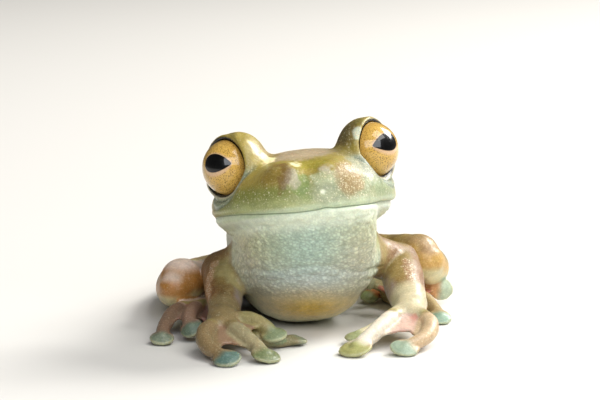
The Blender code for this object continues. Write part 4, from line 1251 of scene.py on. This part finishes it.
def eyeMaterial():
    spec = irisFinish
    made, tree = newMaterial("frog_eye")
    place = addNode(tree, "ShaderNodeTexCoord", {}, [], "Object")
    ahead, rise, rim = (attribute(tree, name) for name in ("ahead", "rise", "rim"))
    net = addNode(tree, "ShaderNodeTexNoise", {},
                  {"Vector": place, "Scale": 5200.0, "Detail": 4.0, "Roughness": 0.6})
    fleck = addNode(tree, "ShaderNodeTexNoise", {}, {"Vector": place, "Scale": 9000.0, "Detail": 3.0})
    veins = (fleck - 0.52).step(0.0, 0.1)
    colour = mixColour(net, spec["gold"], spec["paleGold"])
    colour = mixColour(veins * 0.7, colour, spec["veins"])
    colour = mixColour(rim.step(55.0, 80.0) * 0.3, colour, spec["rim"])
    # teardrop: round towards the back of the head, pointed towards the snout
    long = ahead / spec["pupilLength"]
    behind = (1.0 + long).math("MAXIMUM", 0.0).math("POWER", 0.5)
    tall = behind * (1.0 - long).math("MAXIMUM", 0.0).math("POWER", 0.85)
    past = (long.math("ABSOLUTE") - 0.97).math("MAXIMUM", 0.0)
    inside = tall * spec["pupilHeight"] - rise.math("ABSOLUTE") - past * 3.0
    border = (inside - rise * 0.12).step(-0.13, -0.02)
    colour = mixColour(border * 0.75, colour, spec["pinkEdge"])
    colour = mixColour(inside.step(-0.01, 0.01), colour, (0.002, 0.002, 0.002))
    colour = mixColour(rim.step(79.5, 81.0), colour, (0.004, 0.004, 0.004))
    bump = addNode(tree, "ShaderNodeBump", {}, {"Strength": 0.15, "Distance": 0.0001, "Height": net})
    finishMaterial(tree, {"Roughness": 0.3, "Coat Weight": 1.0, "Coat Roughness": 0.03,
                          "Specular IOR Level": 0.15},
                   {"Base Color": colour, "Normal": bump})
    return made


def makeEye(side, name, finish):
    centre, look = eyePlace(side)
    rows, around = 72, 120
    polar = np.linspace(0, math.pi, rows + 1)[1:-1]
    turn = turnToAxis(look, (0, 0, 1))
    angle = np.linspace(0, 2 * math.pi, around, endpoint=False)
    ring = np.stack((np.cos(angle), np.sin(angle)), -1)
    rings = [np.column_stack((ring * np.sin(p), np.full(around, np.cos(p)))) for p in polar]
    spots = np.vstack((np.array([[0, 0, 1.0]]), *rings, np.array([[0, 0, -1.0]])))
    ways = spots @ turn.T
    points = centre + ways * eyeSpec["radius"]
    faces = []
    for i in range(around):
        n = (i + 1) % around
        faces.append((0, 1 + i, 1 + n, 1 + n))
        last = 1 + (rows - 2) * around
        faces.append((len(spots) - 1, last + n, last + i, last + i))
        for r in range(rows - 2):
            a = 1 + r * around
            faces.append((a + i, a + around + i, a + around + n, a + n))
    mesh = bpy.data.meshes.new(name)
    mesh.from_pydata([tuple(p) for p in toModel(points)], [], [f if f[2] != f[3] else f[:3] for f in faces])
    mesh.shade_smooth()
    piece = bpy.data.objects.new(name, mesh)
    bpy.context.scene.collection.objects.link(piece)
    pupil = headTurn @ eyeAxis(side, eyeSpec["pupilAzimuth"], eyeSpec["pupilRise"])
    forward = headTurn @ np.array((-side * 0.75, 0.55, -0.1))
    forward -= pupil * (forward @ pupil)
    forward /= np.linalg.norm(forward)
    upward = np.cross(pupil, forward) * (1 if side < 0 else -1)
    if upward[2] < 0:
        upward = -upward
    front = ways @ pupil
    setValues(piece, "ahead", np.where(front > 0, ways @ forward, 2.0))
    setValues(piece, "rise", ways @ upward)
    height, wide, _ = eyeMeasure(side, *points.T)
    setValues(piece, "rim", np.degrees(np.arctan2(wide, height)))
    mesh.materials.append(finish)
    return piece


skin = makeSkin()
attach(skin, "root")
eyeNodes = ("eye_right", "eye_left")
fleshNodes = [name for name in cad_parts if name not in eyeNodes]
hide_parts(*fleshNodes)

eyeFinish = eyeMaterial()
for side, name in ((-1, "right"), (1, "left")):
    eye = makeEye(side, "eyeball_" + name, eyeFinish)
    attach(eye, "root")
    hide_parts("eye_" + name)
print("eyes: made")


stageSpec = {
    "floorSize": 4.0,
    "floorDrop": 0.00003,
    "floorColour": linear((224, 221, 215)),
}


def makeFloor():
    half, drop = stageSpec["floorSize"] / 2, -stageSpec["floorDrop"]
    points = np.array([(-half, -half, drop), (half, -half, drop), (half, half, drop), (-half, half, drop)])
    floor = meshPiece("floor", points, np.array([(0, 1, 2, 3)]), smooth=False)
    made, tree = newMaterial("pale_floor")
    place = addNode(tree, "ShaderNodeTexCoord", {}, [], "Object")
    soft = addNode(tree, "ShaderNodeTexNoise", {}, {"Vector": place, "Scale": 3.0, "Detail": 2.0})
    colour = mixColour(soft, stageSpec["floorColour"] * 0.98, stageSpec["floorColour"])
    finishMaterial(tree, {"Roughness": 0.7, "Specular IOR Level": 0.2}, {"Base Color": colour})
    floor.data.materials.append(made)


makeFloor()

lightSpec = {
    # name: place, aimed at, width, height, watts, colour
    "key": ((0.266, -0.127, 0.518), (0, 0, 0.005), 0.36, 0.36, 2.0, (1.0, 0.99, 0.97)),
    "back": ((0.38, 0.28, 0.36), (0, 0, 0.008), 0.26, 0.26, 4.3, (1.0, 0.99, 0.97)),
    "front": ((0.10, -0.60, 0.42), (0, 0, 0.01), 0.9, 0.4, 4.4, (0.97, 1.0, 1.05)),
    "world": 0.06,
}


def makeLights():
    for name, spec in lightSpec.items():
        if name == "world":
            continue
        place, aim, wide, tall, watts, colour = spec
        lamp = bpy.data.lights.new(name + "_light", "AREA")
        lamp.shape, lamp.size, lamp.size_y = "RECTANGLE", wide, tall
        lamp.energy, lamp.color = watts, colour
        holder = bpy.data.objects.new(name + "_light", lamp)
        holder.location = place
        holder.rotation_euler = (Vector(aim) - Vector(place)).to_track_quat("-Z", "Y").to_euler()
        bpy.context.scene.collection.objects.link(holder)
    world = bpy.data.worlds.new("studio")
    world.use_nodes = True
    world.node_tree.nodes["Background"].inputs[0].default_value = (1.0, 0.99, 0.97, 1)
    world.node_tree.nodes["Background"].inputs[1].default_value = lightSpec["world"]
    bpy.context.scene.world = world


makeLights()

cameraSpec = {
    "elevation": 9.0,
    "distance": 250.0,
    "target": (0.0, -8.0, 13.3),
    "pixelsPerMm": 10.7,
}


def makeCamera():
    spec = cameraSpec
    rise = math.radians(spec["elevation"])
    camera = bpy.data.cameras.new("view")
    camera.sensor_width = 36
    camera.lens = spec["pixelsPerMm"] * spec["distance"] / 600 * 36
    camera.clip_start = 0.01
    holder = bpy.data.objects.new("view", camera)
    place = np.array(spec["target"]) - spec["distance"] * np.array((0, math.cos(rise), -math.sin(rise)))
    holder.location = toModel(place)
    holder.rotation_euler = (math.pi / 2 - rise, 0, 0)
    bpy.context.scene.collection.objects.link(holder)
    bpy.context.scene.camera = holder


makeCamera()
bpy.context.scene.view_settings.view_transform = "Standard"
